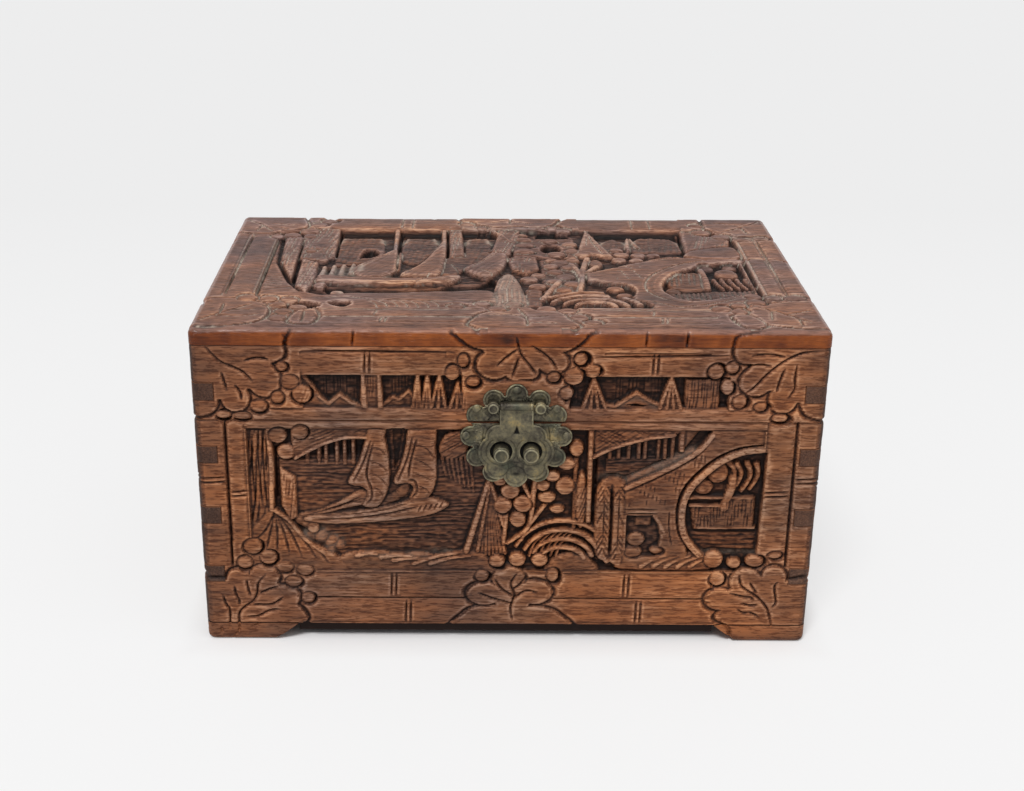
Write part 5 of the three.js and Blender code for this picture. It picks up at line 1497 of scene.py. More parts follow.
class Nodes:
    """A short way to write a material's node tree."""

    def __init__(self, name):
        self.name = name
        self.material = bpy.data.materials.new(name)
        self.material.use_nodes = True
        self.tree = self.material.node_tree
        self.shader = self.tree.nodes["Principled BSDF"]

    def add(self, kind, settings=None, **inputs):
        node = self.tree.nodes.new(kind)
        for key, value in (settings or {}).items():
            setattr(node, key, value)
        for key, value in inputs.items():
            self.put(node.inputs[key.replace("_", " ")], value)
        return node

    def put(self, socket, value):
        if isinstance(value, bpy.types.NodeSocket):
            self.tree.links.new(value, socket)
        else:
            socket.default_value = value

    def attribute(self, name):
        return self.add("ShaderNodeAttribute", {"attribute_name": name}).outputs["Fac"]

    def math(self, operation, *values, clamp=False):
        node = self.tree.nodes.new("ShaderNodeMath")
        node.operation = operation
        node.use_clamp = clamp
        for socket, value in zip(node.inputs, values):
            self.put(socket, value)
        return node.outputs[0]

    def times(self, *values, clamp=False):
        return self.math("MULTIPLY", *values, clamp=clamp)

    def plus(self, *values, clamp=False):
        return self.math("ADD", *values, clamp=clamp)

    def spread(self, value, gain, middle=0.5, clamp=False):
        """How far a value lies from a middle one, times a gain."""
        return self.times(self.math("SUBTRACT", value, middle), gain, clamp=clamp)

    def finish(self, colour, roughness, specular, height, strength, distance):
        """Joins everything to the shader, and keeps the material under its name."""
        bump = self.add("ShaderNodeBump", Height=height, Strength=strength, Distance=distance)
        for name, value in (("Base Color", colour), ("Roughness", roughness), ("Normal", bump.outputs[0]),
                            ("Specular IOR Level", specular)):
            self.put(self.shader.inputs[name], value)
        MATERIALS[self.name] = self.material

    def mix(self, factor, first, second, blend="MIX"):
        node = self.tree.nodes.new("ShaderNodeMix")
        node.data_type = "RGBA"
        node.blend_type = blend
        self.put(node.inputs[0], factor)
        self.put(node.inputs[6], first)
        self.put(node.inputs[7], second)
        return node.outputs[2]

    def ramp(self, factor, stops):
        node = self.tree.nodes.new("ShaderNodeValToRGB")
        elements = node.color_ramp.elements
        while len(elements) < len(stops):
            elements.new(0.5)
        for element, (position, colour) in zip(elements, stops):
            element.position = position
            element.color = (*colour[:3], 1)
        self.put(node.inputs[0], factor)
        return node.outputs[0]

    def noise(self, scale, detail=3.0, roughness=0.55, stretch=(1, 1, 1), offset=(0, 0, 0)):
        where = self.add("ShaderNodeTexCoord").outputs["Object"]
        mapping = self.add("ShaderNodeMapping", Vector=where, Scale=stretch, Location=offset)
        return self.add("ShaderNodeTexNoise", Vector=mapping.outputs[0], Scale=scale, Detail=detail,
                        Roughness=roughness).outputs["Fac"]


def along(grain, share):
    """Stretches a pattern along the grain: the axis of the grain runs slower than the others."""
    return [share if axis == grain else 1.0 for axis in range(3)]


WHITE = (1, 1, 1, 1)
PORE_SHADE = (0.42, 0.34, 0.31, 1)
# Near-black end grain where the tone is low: painted shade in the carving
END_SHADE = rgb(36, 26, 23)
SLAB_DUST, DUST = (rgb(236, 220, 200), 0.8), (rgb(156, 136, 120), 0.6)
# Pale pink painted highlight for the slab's rounded edge
RIM_HIGHLIGHT = rgb(172, 128, 112)
VARNISH = [(0.2, rgb(46, 16, 4)), (0.5, rgb(104, 47, 13)), (0.9, rgb(146, 76, 28))]
END_GRAIN = [(0.4, rgb(52, 37, 32)), (0.6, rgb(104, 76, 62))]
WARM_BANDS = [(0.32, (0.74, 0.79, 0.90)), (0.68, (1.26, 1.07, 0.88))]
CAST = [(0.38, (0.87, 0.91, 0.99)), (0.62, (1.10, 1.04, 0.91))]
PLAIN_STOPS = [(0.3, rgb(112, 70, 48)), (0.55, rgb(150, 101, 72)), (0.75, rgb(171, 122, 89))]
# Near-black plain wood: painted shade for the bottom board beneath the box and the feet's end faces
SHADE_PAINTED_STOPS = [(0.3, rgb(27, 16, 13)), (0.55, rgb(38, 24, 20)), (0.75, rgb(50, 34, 28))]
PATINA = [(0.36, rgb(56, 51, 44)), (0.46, rgb(92, 86, 72)), (0.55, rgb(124, 116, 92)),
          (0.66, rgb(168, 148, 102))]
# The near-black is dirt in chased hollows and painted shade round the posts
VERDIGRIS, WORN_BRASS, BRASS_DIRT_AND_SHADE = rgb(74, 84, 68), rgb(180, 172, 140), rgb(10, 9, 8)


def carved_wood(name, grain, ramp, rim=False):
    """Worn wood, with painted shade in the carving where its tone is low. With a rim, its edges are varnished
    where the gloss says, and its rounding carries a painted highlight.
    """
    n = Nodes(name)
    streaks = n.noise(520, 4, 0.65, along(grain, 0.05))
    pores = n.noise(1150, 3, 0.6, along(grain, 0.15))
    bands = n.noise(60, 3, 0.55, along(grain, 0.3))
    blotches = n.noise(18, 4, 0.6)
    tone = n.attribute("tone")
    shifted = n.plus(tone, n.spread(blotches, 0.5))
    shifted = n.plus(shifted, n.spread(streaks, 0.7), clamp=True)
    colour = n.ramp(shifted, ramp)
    pore = n.math("SMOOTH_MIN", n.spread(pores, 9, 0.41), 1, 0.2, clamp=True)
    dark = n.mix(pore, PORE_SHADE, WHITE)
    colour = n.mix(0.9, colour, dark, "MULTIPLY")
    colour = n.mix(1.0, colour, n.ramp(bands, WARM_BANDS), "MULTIPLY")
    colour = n.mix(1.0, colour, n.ramp(n.noise(13, 3, 0.6), CAST), "MULTIPLY")
    speckle = n.noise(1300, 3, 0.7)
    grey = n.ramp(n.plus(n.times(speckle, 0.6), n.times(blotches, 0.4)), END_GRAIN)
    # End grain darkens with low tone: painted shade
    toned_end = n.mix(n.times(tone, 1.1, clamp=True), END_SHADE, grey)
    colour = n.mix(n.times(n.attribute("endgrain"), 0.85), colour, toned_end)
    powder = n.spread(n.noise(260, 4, 0.7), 3, 0.3, clamp=True)
    dust_colour, dust_share = SLAB_DUST if rim else DUST
    dust = n.times(n.times(n.attribute("dust"), powder), dust_share)
    colour = n.mix(dust, colour, dust_colour)
    roughness = n.math("SUBTRACT", 0.62, n.times(tone, 0.16))
    if rim:
        gloss = n.attribute("gloss")
        polish_and_highlight = n.times(gloss, 2, clamp=True)
        varnished = n.spread(gloss, 2, clamp=True)
        varied = n.plus(shifted, n.spread(n.noise(45, 3, 0.6), 1.6))
        varnish = n.mix(0.3, n.ramp(varied, VARNISH), dark, "MULTIPLY")
        # Painted highlight: a pale band on the rounding, where the polish is full and the varnish is not
        rim_highlight_share = n.times(n.math("SUBTRACT", polish_and_highlight, varnished), tone)
        colour = n.mix(n.times(rim_highlight_share, 0.55), colour, RIM_HIGHLIGHT)
        colour = n.mix(n.times(varnished, 0.96), colour, varnish)
        roughness = n.math("SUBTRACT", roughness, n.times(polish_and_highlight, 0.25))
    roughness = n.plus(roughness, n.spread(streaks, 0.2))
    height = n.plus(n.times(streaks, 0.6), n.times(pore, 0.5))
    n.finish(colour, roughness, 0.2 if rim else 0.16, height, 0.55, 0.0004)


def plain_wood(name, grain, stops=PLAIN_STOPS):
    n = Nodes(name)
    streaks = n.noise(500, 4, 0.6, along(grain, 0.05))
    bands = n.noise(60, 3, 0.5, along(grain, 0.12))
    colour = n.ramp(n.plus(n.times(streaks, 0.5), n.times(bands, 0.5)), stops)
    n.finish(colour, n.plus(0.55, n.times(streaks, 0.2)), 0.16, streaks, 0.4, 0.0003)


def brass(name, toned=True):
    """Patinated brass, worn where the tone is high; where it is low, dirt in the chased hollows and painted
    shade round the posts.
    """
    n = Nodes(name)
    patches = n.noise(95, 5, 0.65)
    fine = n.noise(700, 4, 0.6)
    colour = n.ramp(n.plus(n.times(patches, 0.7), n.times(fine, 0.3)), PATINA)
    green = n.spread(n.noise(60, 4, 0.6, offset=(3, 1, 2)), 6, clamp=True)
    colour = n.mix(n.times(green, 0.5), colour, VERDIGRIS)
    if toned:
        tone = n.attribute("tone")
        worn = n.spread(tone, 5, 0.84, clamp=True)
        colour = n.mix(n.times(worn, n.times(fine, 1.2)), colour, WORN_BRASS)
        # Low tone: dirt in the chased hollows, painted shade round the posts
        colour = n.mix(n.times(tone, 1.25, clamp=True), BRASS_DIRT_AND_SHADE, colour)
    n.shader.inputs["Metallic"].default_value = 0.75
    roughness = n.plus(n.plus(0.30, n.times(fine, 0.38)), n.times(patches, 0.1))
    n.finish(colour, roughness, 0.5, fine, 0.3, 0.0002)


FRONT_RAMP = [
    (0.0, rgb(26, 13, 9)), (0.25, rgb(66, 43, 33)), (0.5, rgb(106, 72, 54)), (0.75, rgb(136, 92, 65)),
    (1.0, rgb(182, 140, 112)),
]
TOP_RAMP = [
    (0.0, rgb(20, 12, 9)), (0.28, rgb(56, 38, 32)), (0.55, rgb(106, 77, 66)), (0.8, rgb(143, 107, 92)),
    (1.0, rgb(194, 162, 146)),
]
carved_wood("carved_long", 0, FRONT_RAMP)
carved_wood("carved_cross", 1, FRONT_RAMP)
carved_wood("carved_slab", 0, TOP_RAMP, rim=True)
plain_wood("plain_long", 0)
plain_wood("plain_cross", 1)
plain_wood("plain_shade_painted", 0, SHADE_PAINTED_STOPS)
brass("brass")
brass("plain_brass", toned=False)


# Feet

def sampled(face, h, z):
    """Depth of a face at points that lie off its grid."""
    i = np.clip(np.searchsorted(face.a, h) - 1, 0, len(face.a) - 2)
    j = np.clip(np.searchsorted(face.b, z) - 1, 0, len(face.b) - 2)
    u = np.clip((h - face.a[i]) / (face.a[i + 1] - face.a[i]), 0, 1)
    v = np.clip((z - face.b[j]) / (face.b[j + 1] - face.b[j]), 0, 1)
    low = face.depth[i, j] * (1 - u) + face.depth[i + 1, j] * u
    high = face.depth[i, j + 1] * (1 - u) + face.depth[i + 1, j + 1] * u
    return low * (1 - v) + high * v


def foot_reliefs():
    z = samples([-0.5, FOOT_TOP + 0.5], FOOT_GRID)
    return [relief_of(side["turn"], samples([-side["reach"] - 1, side["reach"] + 1], FOOT_GRID), z)
            for side in FACES]


def foot(name, side_x, side_y, reliefs):
    """A corner foot: its two outer faces are carved, its inner ends sweep in to the toe."""
    levels = samples([0, FOOT_EDGE, FOOT_TOP], FOOT_GRID)
    curving = FOOT_TOP - 2 * FOOT_BEND_RISE
    t = (np.sqrt(FOOT_BEND_RISE ** 2 + curving * levels) - FOOT_BEND_RISE) / curving
    bend = FOOT_TOE + FOOT_BEND_RUN
    length = (1 - t) ** 2 * FOOT_TOE + 2 * t * (1 - t) * bend + t * t * FOOT_LENGTH
    inset = FOOT_EDGE * np.clip(1 - np.sqrt(np.clip(levels / FOOT_EDGE, 0, 1)), 0, 1) ** 2
    run = samples([0, 1], FOOT_GRID / (FOOT_LENGTH - CORNER_RADIUS))
    arc = np.linspace(0, math.pi / 2, ARC_STEPS + 2)[1:-1]
    front = reliefs[0 if side_y < 0 else 2]
    end = reliefs[1 if side_x > 0 else 3]
    rows = []
    for z, reach, drawn in zip(levels, length, inset):
        straight = reach - CORNER_RADIUS - (reach - CORNER_RADIUS) * run
        x = HALF_W - CORNER_RADIUS - straight
        sight = side_x * x * (1 if side_y < 0 else -1)
        sunk = sampled(front, sight, np.full_like(x, z))
        along = np.stack([x, HALF_D - drawn - sunk], -1)
        y = HALF_D - CORNER_RADIUS - straight
        sight = side_y * y * (1 if side_x > 0 else -1)
        sunk_end = sampled(end, sight, np.full_like(y, z))
        across = np.stack([HALF_W - drawn - sunk_end, y], -1)[::-1]
        mix = np.linspace(sunk[-1], sunk_end[-1], len(arc) + 2)[1:-1]
        radius = CORNER_RADIUS - drawn - mix
        corner = np.stack([HALF_W - CORNER_RADIUS + radius * np.sin(arc),
                           HALF_D - CORNER_RADIUS + radius * np.cos(arc)], -1)
        inner = np.array([[HALF_W - reach, HALF_D - reach]])
        ring = np.concatenate([along, corner, across, inner])
        plan = ring * (side_x, side_y) + (0, MID_Y)
        rows.append(np.concatenate([plan, np.full((len(ring), 1), z)], 1))
    verts = np.array(rows)
    count = verts.shape[1]
    index = np.arange(verts.size // 3).reshape(len(levels), count)
    beside = np.roll(index, -1, axis=1)
    quads = np.stack([index[:-1], beside[:-1], beside[1:], index[1:]], -1).reshape(-1, 4)
    faces = [*quads, list(index[0][::-1]), list(index[-1])]
    if side_x * side_y > 0:
        faces = [list(f)[::-1] for f in faces]
    slots = np.zeros(len(faces), np.int32)
    slots[-2:] = 1
    # Painted shade: the foot is darker towards the floor
    tone = np.clip(0.74 - 0.2 * (1 - levels / FOOT_TOP)[:, None] + np.zeros((1, count)), 0, 1)
    zero = np.zeros(verts.size // 3)
    layers = {"tone": tone.reshape(-1), "dust": zero, "endgrain": zero}
    mesh_object("carved_" + name, "body", name, verts.reshape(-1, 3), faces, slots, layers,
                ["carved_long", "plain_shade_painted"])


# Brass
BRASS_SHARP_ANGLE = 50
ROUNDING = 0.45
NAIL_TONE = 0.8


def face_outwards(mesh):
    build = bmesh.new()
    build.from_mesh(mesh)
    bmesh.ops.recalc_face_normals(build, faces=build.faces)
    build.to_mesh(mesh)
    build.free()


def brass_object(name, body, node, verts, faces, tone):
    mesh = bpy.data.meshes.new(name)
    mesh.from_pydata((np.asarray(verts) * MM).tolist(), [], [list(map(int, f)) for f in faces])
    layer = mesh.attributes.new("tone", "FLOAT", "POINT")
    layer.data.foreach_set("value", np.asarray(tone, np.float32))
    face_outwards(mesh)
    mesh.shade_smooth()
    mesh.set_sharp_from_angle(angle=math.radians(BRASS_SHARP_ANGLE))
    mesh.materials.append(MATERIALS["brass"])
    obj = linked(name, mesh)
    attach(obj, body)
    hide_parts(node)


def under_flap(a, b):
    """The plate's tone: painted shade round the posts, dark in the gaps of the flap's holes and fading out
    beneath the flap.
    """
    at_post = np.minimum.reduce([np.hypot(a - x, b - z) for x, z in HOLES])
    return smoothstep((at_post - HOLE_RADIUS - 0.2) / 2.5)


def flap_tone(a, _):
    """The flap's tone: worn and yellow in its middle, darker to both sides."""
    return 1.06 - 0.2 * smoothstep((np.abs(a - LOCK_X) - 9) / 6)


def sheet(name, body, node, outlines, shape, y_back, y_front, relief, shade):
    """A sheet of brass between two planes: outline loops, and a relief sunk into its front."""
    points, edges = [], []
    for loop in outlines:
        start = len(points)
        points += [Vector(p) for p in loop]
        edges += [(start + i, start + (i + 1) % len(loop)) for i in range(len(loop))]
        ring = np.array(loop)
        tangent = np.roll(ring, -1, 0) - np.roll(ring, 1, 0)
        normal = np.stack([-tangent[:, 1], tangent[:, 0]], -1)
        normal /= np.linalg.norm(normal, axis=1)[:, None] + 1e-9
        for inward in (0.18, 0.42):
            for sign in (-1, 1):
                trial = ring + sign * inward * normal
                inside = shape.distance(trial[:, 0], trial[:, 1]) < -0.8 * inward
                points += [Vector(p) for p in trial[inside]]
    x0, z0, x1, z1 = shape.bounds
    grid_x, grid_z = np.meshgrid(np.arange(x0, x1, SHEET_GRID), np.arange(z0, z1, SHEET_GRID))
    grid_x[::2] += SHEET_GRID / 2
    inside = shape.distance(grid_x, grid_z) < -0.62
    points += [Vector(p) for p in zip(grid_x[inside], grid_z[inside])]
    flat, _, triangles, *_ = delaunay_2d_cdt(points, edges, [], 0, 1e-4)
    plan = np.array([tuple(p) for p in flat])
    triangles = np.array([t for t in triangles if len(t) == 3])
    middle = plan[triangles].mean(1)
    triangles = triangles[shape.distance(middle[:, 0], middle[:, 1]) < 0]
    sides = dict.fromkeys(edge for a, b, c in triangles for edge in ((a, b), (b, c), (c, a)))
    rim = [edge for edge in sides if (edge[1], edge[0]) not in sides]
    inside = -shape.distance(plan[:, 0], plan[:, 1])
    short = np.clip(ROUNDING - inside, 0, ROUNDING)
    drop = ROUNDING - np.sqrt(np.clip(ROUNDING ** 2 - short ** 2, 0, None))
    sunk = relief(plan[:, 0], plan[:, 1])
    front = np.stack([plan[:, 0], y_front + np.clip(drop + sunk, 0, y_back - y_front - 0.25), plan[:, 1]], -1)
    back = np.stack([plan[:, 0], np.full(len(plan), y_back), plan[:, 1]], -1)
    size = len(plan)
    faces = [*triangles, *(triangles[:, ::-1] + size)]
    faces += [(a, b, b + size, a + size) for a, b in rim]
    used = np.unique(np.concatenate([np.ravel(f) for f in faces]))
    remap = np.full(2 * size, -1)
    remap[used] = np.arange(len(used))
    rim = 0.3 * np.clip(1 - abs(inside - 0.35) / 0.45, 0, 1)
    # Darker in the chased hollows, lighter on the worn rim, times the given shade: painted shade round the
    # posts on the plates, wear on the flap
    shaded = np.clip(0.8 - 1.3 * sunk + rim, 0, 1) * shade(plan[:, 0], plan[:, 1])
    tone = np.concatenate([shaded, np.full(size, 0.5)])
    brass_object(name, body, node, np.concatenate([front, back])[used],
                 [remap[np.asarray(f)] for f in faces], tone[used])


def circle(x, z, radius, count=72):
    angles = [2 * math.pi * k / count for k in range(count)]
    return [(x + radius * math.cos(t), z + radius * math.sin(t)) for t in angles]


def outline_of(shape, centre, level=None, above=True, count=420):
    """The outer line of a shape, found along rays, and cut off at a level where one is given."""
    angle = np.linspace(0, 2 * math.pi, count, endpoint=False)
    c, s = np.cos(angle), np.sin(angle)
    radii = np.arange(60, 0, -0.25)
    grid = shape.distance(centre[0] + radii[:, None] * c, centre[1] + radii[:, None] * s) < 0
    first = np.argmax(grid, axis=0)
    low, high = radii[first], radii[np.maximum(first - 1, 0)]
    for _ in range(18):
        middle = (low + high) / 2
        inside = shape.distance(centre[0] + middle * c, centre[1] + middle * s) < 0
        low, high = np.where(inside, middle, low), np.where(inside, high, middle)
    loop = list(zip(centre[0] + low * c, centre[1] + low * s))
    if level is None:
        return loop
    keep = (lambda p: p[1] > level) if above else (lambda p: p[1] < level)
    out = []
    for p, q in zip(loop, loop[1:] + loop[:1]):
        if keep(p):
            out.append(p)
        if keep(p) != keep(q):
            t = (level - p[1]) / (q[1] - p[1])
            out.append((p[0] + t * (q[0] - p[0]), level))
    return out


def lobe_places():
    for k in range(LOBES):
        angle = 2 * math.pi * k / LOBES
        yield angle, LOCK_X + LOBE_RING * math.cos(angle), LOCK_Z + LOBE_RING * math.sin(angle)


def plate_relief(a, b):
    """Chased crescents in the lobes, hatching between them, and a ring inside."""
    sunk = np.zeros(np.broadcast(a, b).shape)
    for angle, x, z in lobe_places():
        away = np.hypot(a - x, b - z)
        outward = (a - x) * math.cos(angle) + (b - z) * math.sin(angle)
        crescent = np.clip(1 - abs(away - 3.9) / 0.55, 0, 1) * (outward > -1.5)
        sunk = np.maximum(sunk, 0.34 * crescent)
        sunk = np.maximum(sunk, 0.16 * smoothstep((3.4 - away) / 1.2) * (outward > -2.4))
    radius = np.hypot(a - LOCK_X, b - LOCK_Z)
    turn = np.arctan2(b - LOCK_Z, a - LOCK_X)
    between = np.cos(LOBES * turn) < 0.2
    hatching = (np.cos(turn * 150) > 0.3) & (radius > 16.6) & (radius < 20.8) & between
    sunk = np.maximum(sunk, 0.28 * hatching)
    sunk = np.maximum(sunk, 0.36 * np.clip(1 - abs(radius - 15.8) / 0.5, 0, 1))
    for x, z in EYES:
        away = np.hypot(a - x, b - z)
        rays = np.cos(22 * np.arctan2(b - z, a - x)) > 0.2
        sunk = np.maximum(sunk, 0.3 * (rays & (away > 3.6) & (away < 6.2) & (b < z + 2)))
    stipple = rough(a, b, 0.8, 0.8, 92) * smoothstep((radius - 13) / 3)
    dents = rough(a, b, 2.6, 2.6, 91) + 0.9 * stipple
    return sunk + 0.1 * (1 + dents)


def flap_relief(a, b):
    """A chased line along the flap's edge, a dent, a wedge and rings round the holes."""
    inside = -FLAP.distance(a, b)
    line = np.clip(1 - abs(inside - 1.5) / 0.4, 0, 1) * (b < LOCK_Z + 4)
    dent = smoothstep(1 - np.hypot((a - LOCK_X - 0.4) / 3.6, (b - (LOCK_Z - 19)) / 1.7))
    mark = polygon([(LOCK_X + x, LOCK_Z + z) for x, z in ((-1.9, 1.4), (1.9, 1.4), (0.2, 7.4))])
    wedge = smoothstep(-mark.distance(a, b) / 0.8)
    rings = 0
    for x, z in HOLES:
        rings = np.maximum(rings, np.clip(1 - abs(np.hypot(a - x, b - z) - 7.1) / 0.45, 0, 1))
    dents = rough(a, b, 3.4, 3.0, 93) + 0.5 * rough(a, b, 1.3, 1.2, 94)
    carved = np.maximum.reduce([0.3 * line, 0.5 * dent, 0.6 * wedge, 0.28 * rings * (b < LOCK_Z - 1)])
    return carved + 0.08 * (1 + dents)


def flap_shape():
    """Discs round the two holes, with lobes above and below, hung from a strap."""
    middle = HOLES[0][1]
    spread = (HOLES[1][0] - HOLES[0][0]) / 2
    x = LOCK_X
    lobes = [disc(x, middle, spread), disc(x, middle - 12.2, 6)]
    for side in (-1, 1):
        lobes += [disc(x + side * (spread + 2.1), middle - 0.2, 9), disc(x + side * 8.4, middle + 7.4, 6.4),
                  disc(x + side * 8.6, middle - 8, 6.6)]
    return joined([*lobes, rect(x - STRAP_HALF, x + STRAP_HALF, middle, AXIS[2])])


FLAP = flap_shape()


def lathe(name, body, node, profile, centre, axis, count=48):
    """A turned piece: rings of radius and reach along an axis, some with a tone of their own."""
    axis = Vector(axis).normalized()
    side = axis.orthogonal().normalized()
    axis, side, other = map(np.array, (axis, side, axis.cross(side)))
    rings, verts, faces, tones = [], [], [], []
    # A ring's third number is its tone: high for wear, low for painted shade
    for radius, reach, *worn in profile:
        angles = [2 * math.pi * k / count for k in range(count if radius > 0 else 1)]
        rings.append(list(range(len(verts), len(verts) + len(angles))))
        verts += [centre + axis * reach + radius * (math.cos(angle) * side + math.sin(angle) * other)
                  for angle in angles]
        tones += [worn[0] if worn else NAIL_TONE] * len(angles)
    for first, second in zip(rings, rings[1:]):
        for k in range(count):
            n = (k + 1) % count
            corners = [first[k % len(first)], first[n % len(first)],
                       second[n % len(second)], second[k % len(second)]]
            faces.append(list(dict.fromkeys(corners)))
    brass_object(name, body, node, np.array(verts), faces, tones)


def lock_plates():
    full = joined([disc(LOCK_X, LOCK_Z, LOBE_RING), *(disc(x, z, LOBE_RADIUS) for _, x, z in lobe_places())])
    for node, body, above in (("lock_plate_upper", "lid", True), ("lock_plate_lower", "body", False)):
        lo, hi = box_mm(node)
        level = lo[2] if above else hi[2]
        outline = outline_of(full, (LOCK_X, LOCK_Z), level, above)
        shape = both(full, half_plane(level, above))
        sheet("scalloped_" + node, body, node, [outline], shape, hi[1], lo[1], plate_relief, under_flap)


def hasp_flap():
    """The flap, and its rolled barrel with a groove near both ends."""
    holes = [disc(x, z, HOLE_RADIUS) for x, z in HOLES]
    loops = [outline_of(FLAP, (LOCK_X, HOLES[0][1] + 2)), *(circle(x, z, HOLE_RADIUS) for x, z in HOLES)]
    sheet("chased_hasp_flap", "hasp", "hasp", loops, minus(FLAP, *holes), HASP_HI[1],
          HASP_HI[1] - HASP_THICKNESS, flap_relief, flap_tone)
    r = BARREL_RADIUS
    half = [(0, 0), (r - 0.4, 0), (r, 0.4), (r, 1.5), (r - 0.25, 1.8), (r, 2.1)]
    profile = half + [(radius, 2 * STRAP_HALF - reach) for radius, reach in half[::-1]]
    lathe("hasp_barrel", "hasp", "hasp", profile, (LOCK_X - STRAP_HALF, AXIS[1], AXIS[2]), (1, 0, 0))


def post(node, body, flare):
    """An eye post or a staple post: collared at the plate, ringed and rounded at its tip."""
    lo, hi = box_mm(node)
    x, _, z = middle_of(node)
    radius, reach = (hi[0] - lo[0]) / 2, LOCK_LO[1] - PLATE_SEAT_GAP - lo[1]
    tip = radius - flare
    # Third numbers are tones: the post is darker towards the plate, painted shade at its foot where it meets
    # the plate
    profile = [(0, -2), (radius - 0.6, -2), (radius - 0.6, 0, 0.1), (radius, 0.1, 0.1),
               (radius, 1.0, 0.3), (radius - 0.25, 1.3, 0.3), (radius - 0.1 - flare / 2, 2.4, 0.55),
               (tip, reach - 2.0, 0.95), (tip, reach - 1.6, 1.0), (tip - 0.3, reach - 1.35, 0.45),
               (tip, reach - 1.1, 0.9), (tip - 0.1, reach - 0.45, 0.75), (tip - 0.6, reach - 0.08, 1.0),
               (tip - 1.0, reach - 0.02, 0.9), (tip - 1.3, reach - 0.2, 0.5), (0, reach - 0.12, 0.6)]
    lathe("turned_" + node, body, node, profile, (x, lo[1] + reach, z), (0, -1, 0))


def nail(node, body):
    """A nail with a domed head on a short shank."""
    lo, hi = box_mm(node)
    x, _, z = middle_of(node)
    radius = (hi[0] - lo[0]) / 2
    dome = [(radius * math.cos(t), NAIL_HEIGHT * math.sin(t)) for t in np.linspace(0, math.pi / 2, 9)[:-1]]
    profile = [(0, -1.5), (0.6, -1.5), (0.6, 0), (radius, 0), *dome[1:], (0, NAIL_HEIGHT)]
    lathe("domed_" + node, body, node, profile, (x, lo[1] + NAIL_HEIGHT, z), (0, -1, 0))


# The pieces
KNUCKLE_SIDES = 24
PAST_EDGE, PAST_BACK = 2, 3


def hinge_cuts(board, upper):
    """Pockets for the hinge leaves and the groove for their knuckles."""
    for label in ("left", "right"):
        leaf_lo, leaf_hi = box_mm(f"hinge_{label}_{'upper' if upper else 'lower'}_leaf")
        pin = middle_of(f"hinge_{label}_pin")
        x0, x1 = leaf_lo[0] - FIT, leaf_hi[0] + FIT
        edge, inwards = (LID_Z0, 1) if upper else (BODY_Z1, -1)
        z0, z1 = sorted((edge + inwards * LEAF_DEPTH, edge - inwards * PAST_EDGE))
        y0, y1 = leaf_lo[1] - FIT, BACK + PAST_BACK
        corners = [(x, y, z) for x in (x0, x1) for y in (y0, y1) for z in (z0, z1)]
        faces = [(0, 1, 3, 2), (4, 6, 7, 5), (0, 4, 5, 1), (2, 3, 7, 6), (0, 2, 6, 4), (1, 5, 7, 3)]
        first = len(corners)
        second = first + KNUCKLE_SIDES
        groove = circle(pin[1], pin[2], KNUCKLE_ROOM, KNUCKLE_SIDES)
        corners += [(x, y, z) for x in (x0, x1) for y, z in groove]
        faces += [range(second - 1, first - 1, -1), range(second, second + KNUCKLE_SIDES)]
        for k in range(KNUCKLE_SIDES):
            after = (k + 1) % KNUCKLE_SIDES
            faces.append((first + k, first + after, second + after, second + k))
        cutter_mesh = bpy.data.meshes.new("cutter")
        cutter_mesh.from_pydata([(x * MM, y * MM, z * MM) for x, y, z in corners], [], faces)
        face_outwards(cutter_mesh)
        for side in cutter_mesh.polygons:
            side.material_index = 1
        cutter = linked("cutter", cutter_mesh)
        modifier = board.modifiers.new("pocket", "BOOLEAN")
        modifier.operation = "DIFFERENCE"
        modifier.solver = "MANIFOLD"
        modifier.object = cutter
        bpy.context.view_layer.objects.active = board
        bpy.ops.object.modifier_apply(modifier=modifier.name)
        bpy.data.objects.remove(cutter)


def build_boards():
    walls = [("body", BODY_Z0, BODY_Z1, BODY_TENONS), ("lid", LID_Z0, LID_Z1, LID_TENONS)]
    for body, z0, z1, tenons in walls:
        for label, turn in (("front", 0), ("right", 90), ("back", 180), ("left", 270)):
            board = carved_board(f"carved_{body}_{label}_board", body, turn, z0, z1, tenons,
                                 has_tenons=turn % 180 == 90)
            if label == "back":
                hinge_cuts(board, body == "lid")
    carved_slab("carved_lid_top_board", "lid")
    reliefs = foot_reliefs()
    for label_y, side_y in (("front", -1), ("back", 1)):
        for label_x, side_x in (("left", -1), ("right", 1)):
            foot(f"foot_{label_y}_{label_x}", side_x, side_y, reliefs)


def finish_cad_nodes():
    for node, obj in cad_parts.items():
        obj.data.materials.clear()
        # The bottom board gets the near-black wood of painted shade
        obj.data.materials.append(MATERIALS["plain_shade_painted" if node == "bottom_board" else "plain_brass"])


build_boards()
lock_plates()
hasp_flap()
for number in (1, 2):
    post(f"hasp_eye_post_{number}", "lid", flare=0)
    post(f"staple_post_{number}", "body", flare=0.1)
for number in (1, 2, 3):
    nail(f"upper_plate_nail_{number}", "lid")
for number in (1, 2):
    nail(f"lower_plate_nail_{number}", "body")
finish_cad_nodes()

# Stage, light and camera
FLOOR_SIZE = 30
FLOOR_COLOUR, FAR_FLOOR_COLOUR = rgb(247, 247, 247), rgb(238, 238, 238)
FLOOR_GLOW = 0.74
SHADE_REACH = 22
SHADE_GLOW = 0.35
ROOM_COLOUR = rgb(242, 242, 244)
ROOM_LIGHT, ROOM_SEEN = 0.42, 1.0


def seen_rays(tree):
    """1 for the rays that show a background: the camera's, and those of reflections."""
    path = tree.nodes.new("ShaderNodeLightPath")
    value = path.outputs["Is Camera Ray"]
    for name in ("Is Glossy Ray", "Is Transmission Ray"):
        node = tree.nodes.new("ShaderNodeMath")
        node.operation = "MAXIMUM"
        tree.links.new(value, node.inputs[0])
        tree.links.new(path.outputs[name], node.inputs[1])
        value = node.outputs[0]
    return value


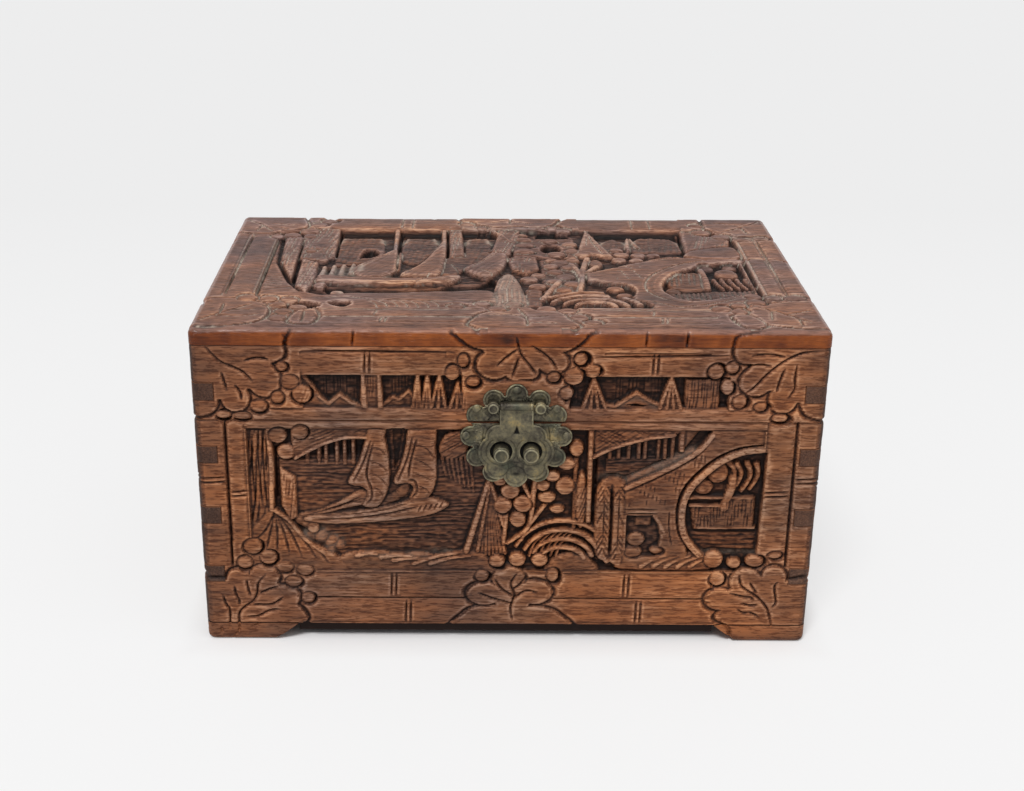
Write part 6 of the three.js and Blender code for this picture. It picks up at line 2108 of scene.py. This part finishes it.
def stage():
    """A pale floor that glows a little and keeps the shadow of the box, with a painted shadow where its glow
    fades under and near the box.
    """
    n = Nodes("floor")
    n.shader.inputs["Roughness"].default_value = 0.9
    n.shader.inputs["Specular IOR Level"].default_value = 0.1
    place = n.add("ShaderNodeSeparateXYZ", Vector=n.add("ShaderNodeTexCoord").outputs["Object"])
    far = n.times(n.plus(place.outputs["Y"], 0.1), 1.2, clamp=True)
    pale = n.mix(far, FLOOR_COLOUR, FAR_FLOOR_COLOUR)
    n.put(n.shader.inputs["Base Color"], pale)
    glow = n.add("ShaderNodeEmission", Color=pale)
    beyond = [n.math("SUBTRACT", n.math("ABSOLUTE", place.outputs[axis]), half * MM)
              for axis, half in (("X", HALF_W), ("Y", HALF_D))]
    # Painted shadow: the glow fades out towards and under the box's footprint, over SHADE_REACH
    clear = n.plus(n.times(n.math("MAXIMUM", *beyond), 1 / (SHADE_REACH * MM)), SHADE_GLOW, clamp=True)
    seen = n.times(seen_rays(n.tree), FLOOR_GLOW)
    both_shaders = n.add("ShaderNodeMixShader", Fac=n.times(seen, clear))
    n.tree.links.new(n.shader.outputs[0], both_shaders.inputs[1])
    n.tree.links.new(glow.outputs[0], both_shaders.inputs[2])
    n.tree.links.new(both_shaders.outputs[0], n.tree.nodes["Material Output"].inputs["Surface"])
    bpy.ops.mesh.primitive_plane_add(size=FLOOR_SIZE)
    floor = bpy.context.object
    floor.name = "floor"
    floor.data.materials.append(n.material)


def sun(name, towards, strength, softness):
    data = bpy.data.lights.new(name, "SUN")
    data.energy = strength
    data.angle = math.radians(softness)
    linked(name, data).rotation_euler = Vector(towards).to_track_quat("-Z", "Y").to_euler()


def lights():
    """Even light from a pale room, and soft lamps from above the front."""
    world = bpy.data.worlds.new("studio")
    bpy.context.scene.world = world
    world.use_nodes = True
    tree = world.node_tree
    background = tree.nodes["Background"]
    background.inputs["Color"].default_value = ROOM_COLOUR
    strength = tree.nodes.new("ShaderNodeMapRange")
    tree.links.new(seen_rays(tree), strength.inputs["Value"])
    strength.inputs["To Min"].default_value = ROOM_LIGHT
    strength.inputs["To Max"].default_value = ROOM_SEEN
    tree.links.new(strength.outputs["Result"], background.inputs["Strength"])
    sun("key", (0.25, 0.6, -1.0), 1.85, 16)
    sun("fill", (-0.5, 0.4, -1.0), 0.35, 50)


# The photograph's camera, measured from the middle of the carcass
CAMERA_TURN = -0.038
CAMERA_RISE = 22.247
CAMERA_ROLL = 0.331
CAMERA_DISTANCE = 822.6
CAMERA_TARGET = (-16.56, 0, 93.94)
FOCAL_PIXELS = 1528.6
CENTRE_PIXEL_X = 474.2
PICTURE_WIDTH = 1024
SENSOR_WIDTH = 36


def camera():
    """The camera, turned, raised and rolled about the point it looks at."""
    turn, rise, roll = map(math.radians, (CAMERA_TURN, CAMERA_RISE, CAMERA_ROLL))
    back = Vector((math.sin(turn) * math.cos(rise), -math.cos(turn) * math.cos(rise), math.sin(rise)))
    right = (-back).cross(Vector((0, 0, 1))).normalized()
    up = right.cross(-back)
    tilted_right = math.cos(roll) * right + math.sin(roll) * up
    tilted_up = -math.sin(roll) * right + math.cos(roll) * up
    data = bpy.data.cameras.new("camera")
    data.sensor_width = SENSOR_WIDTH
    data.lens = FOCAL_PIXELS / PICTURE_WIDTH * data.sensor_width
    data.shift_x = (PICTURE_WIDTH / 2 - CENTRE_PIXEL_X) / PICTURE_WIDTH
    obj = linked("camera", data)
    place = (Vector(CAMERA_TARGET) + Vector((0, MID_Y, 0)) + back * CAMERA_DISTANCE) * MM
    rotation = Matrix((tilted_right, tilted_up, back)).transposed()
    obj.matrix_world = Matrix.Translation(place) @ rotation.to_4x4()
    bpy.context.scene.camera = obj


stage()
lights()
camera()
bpy.context.scene.view_settings.view_transform = "Standard"
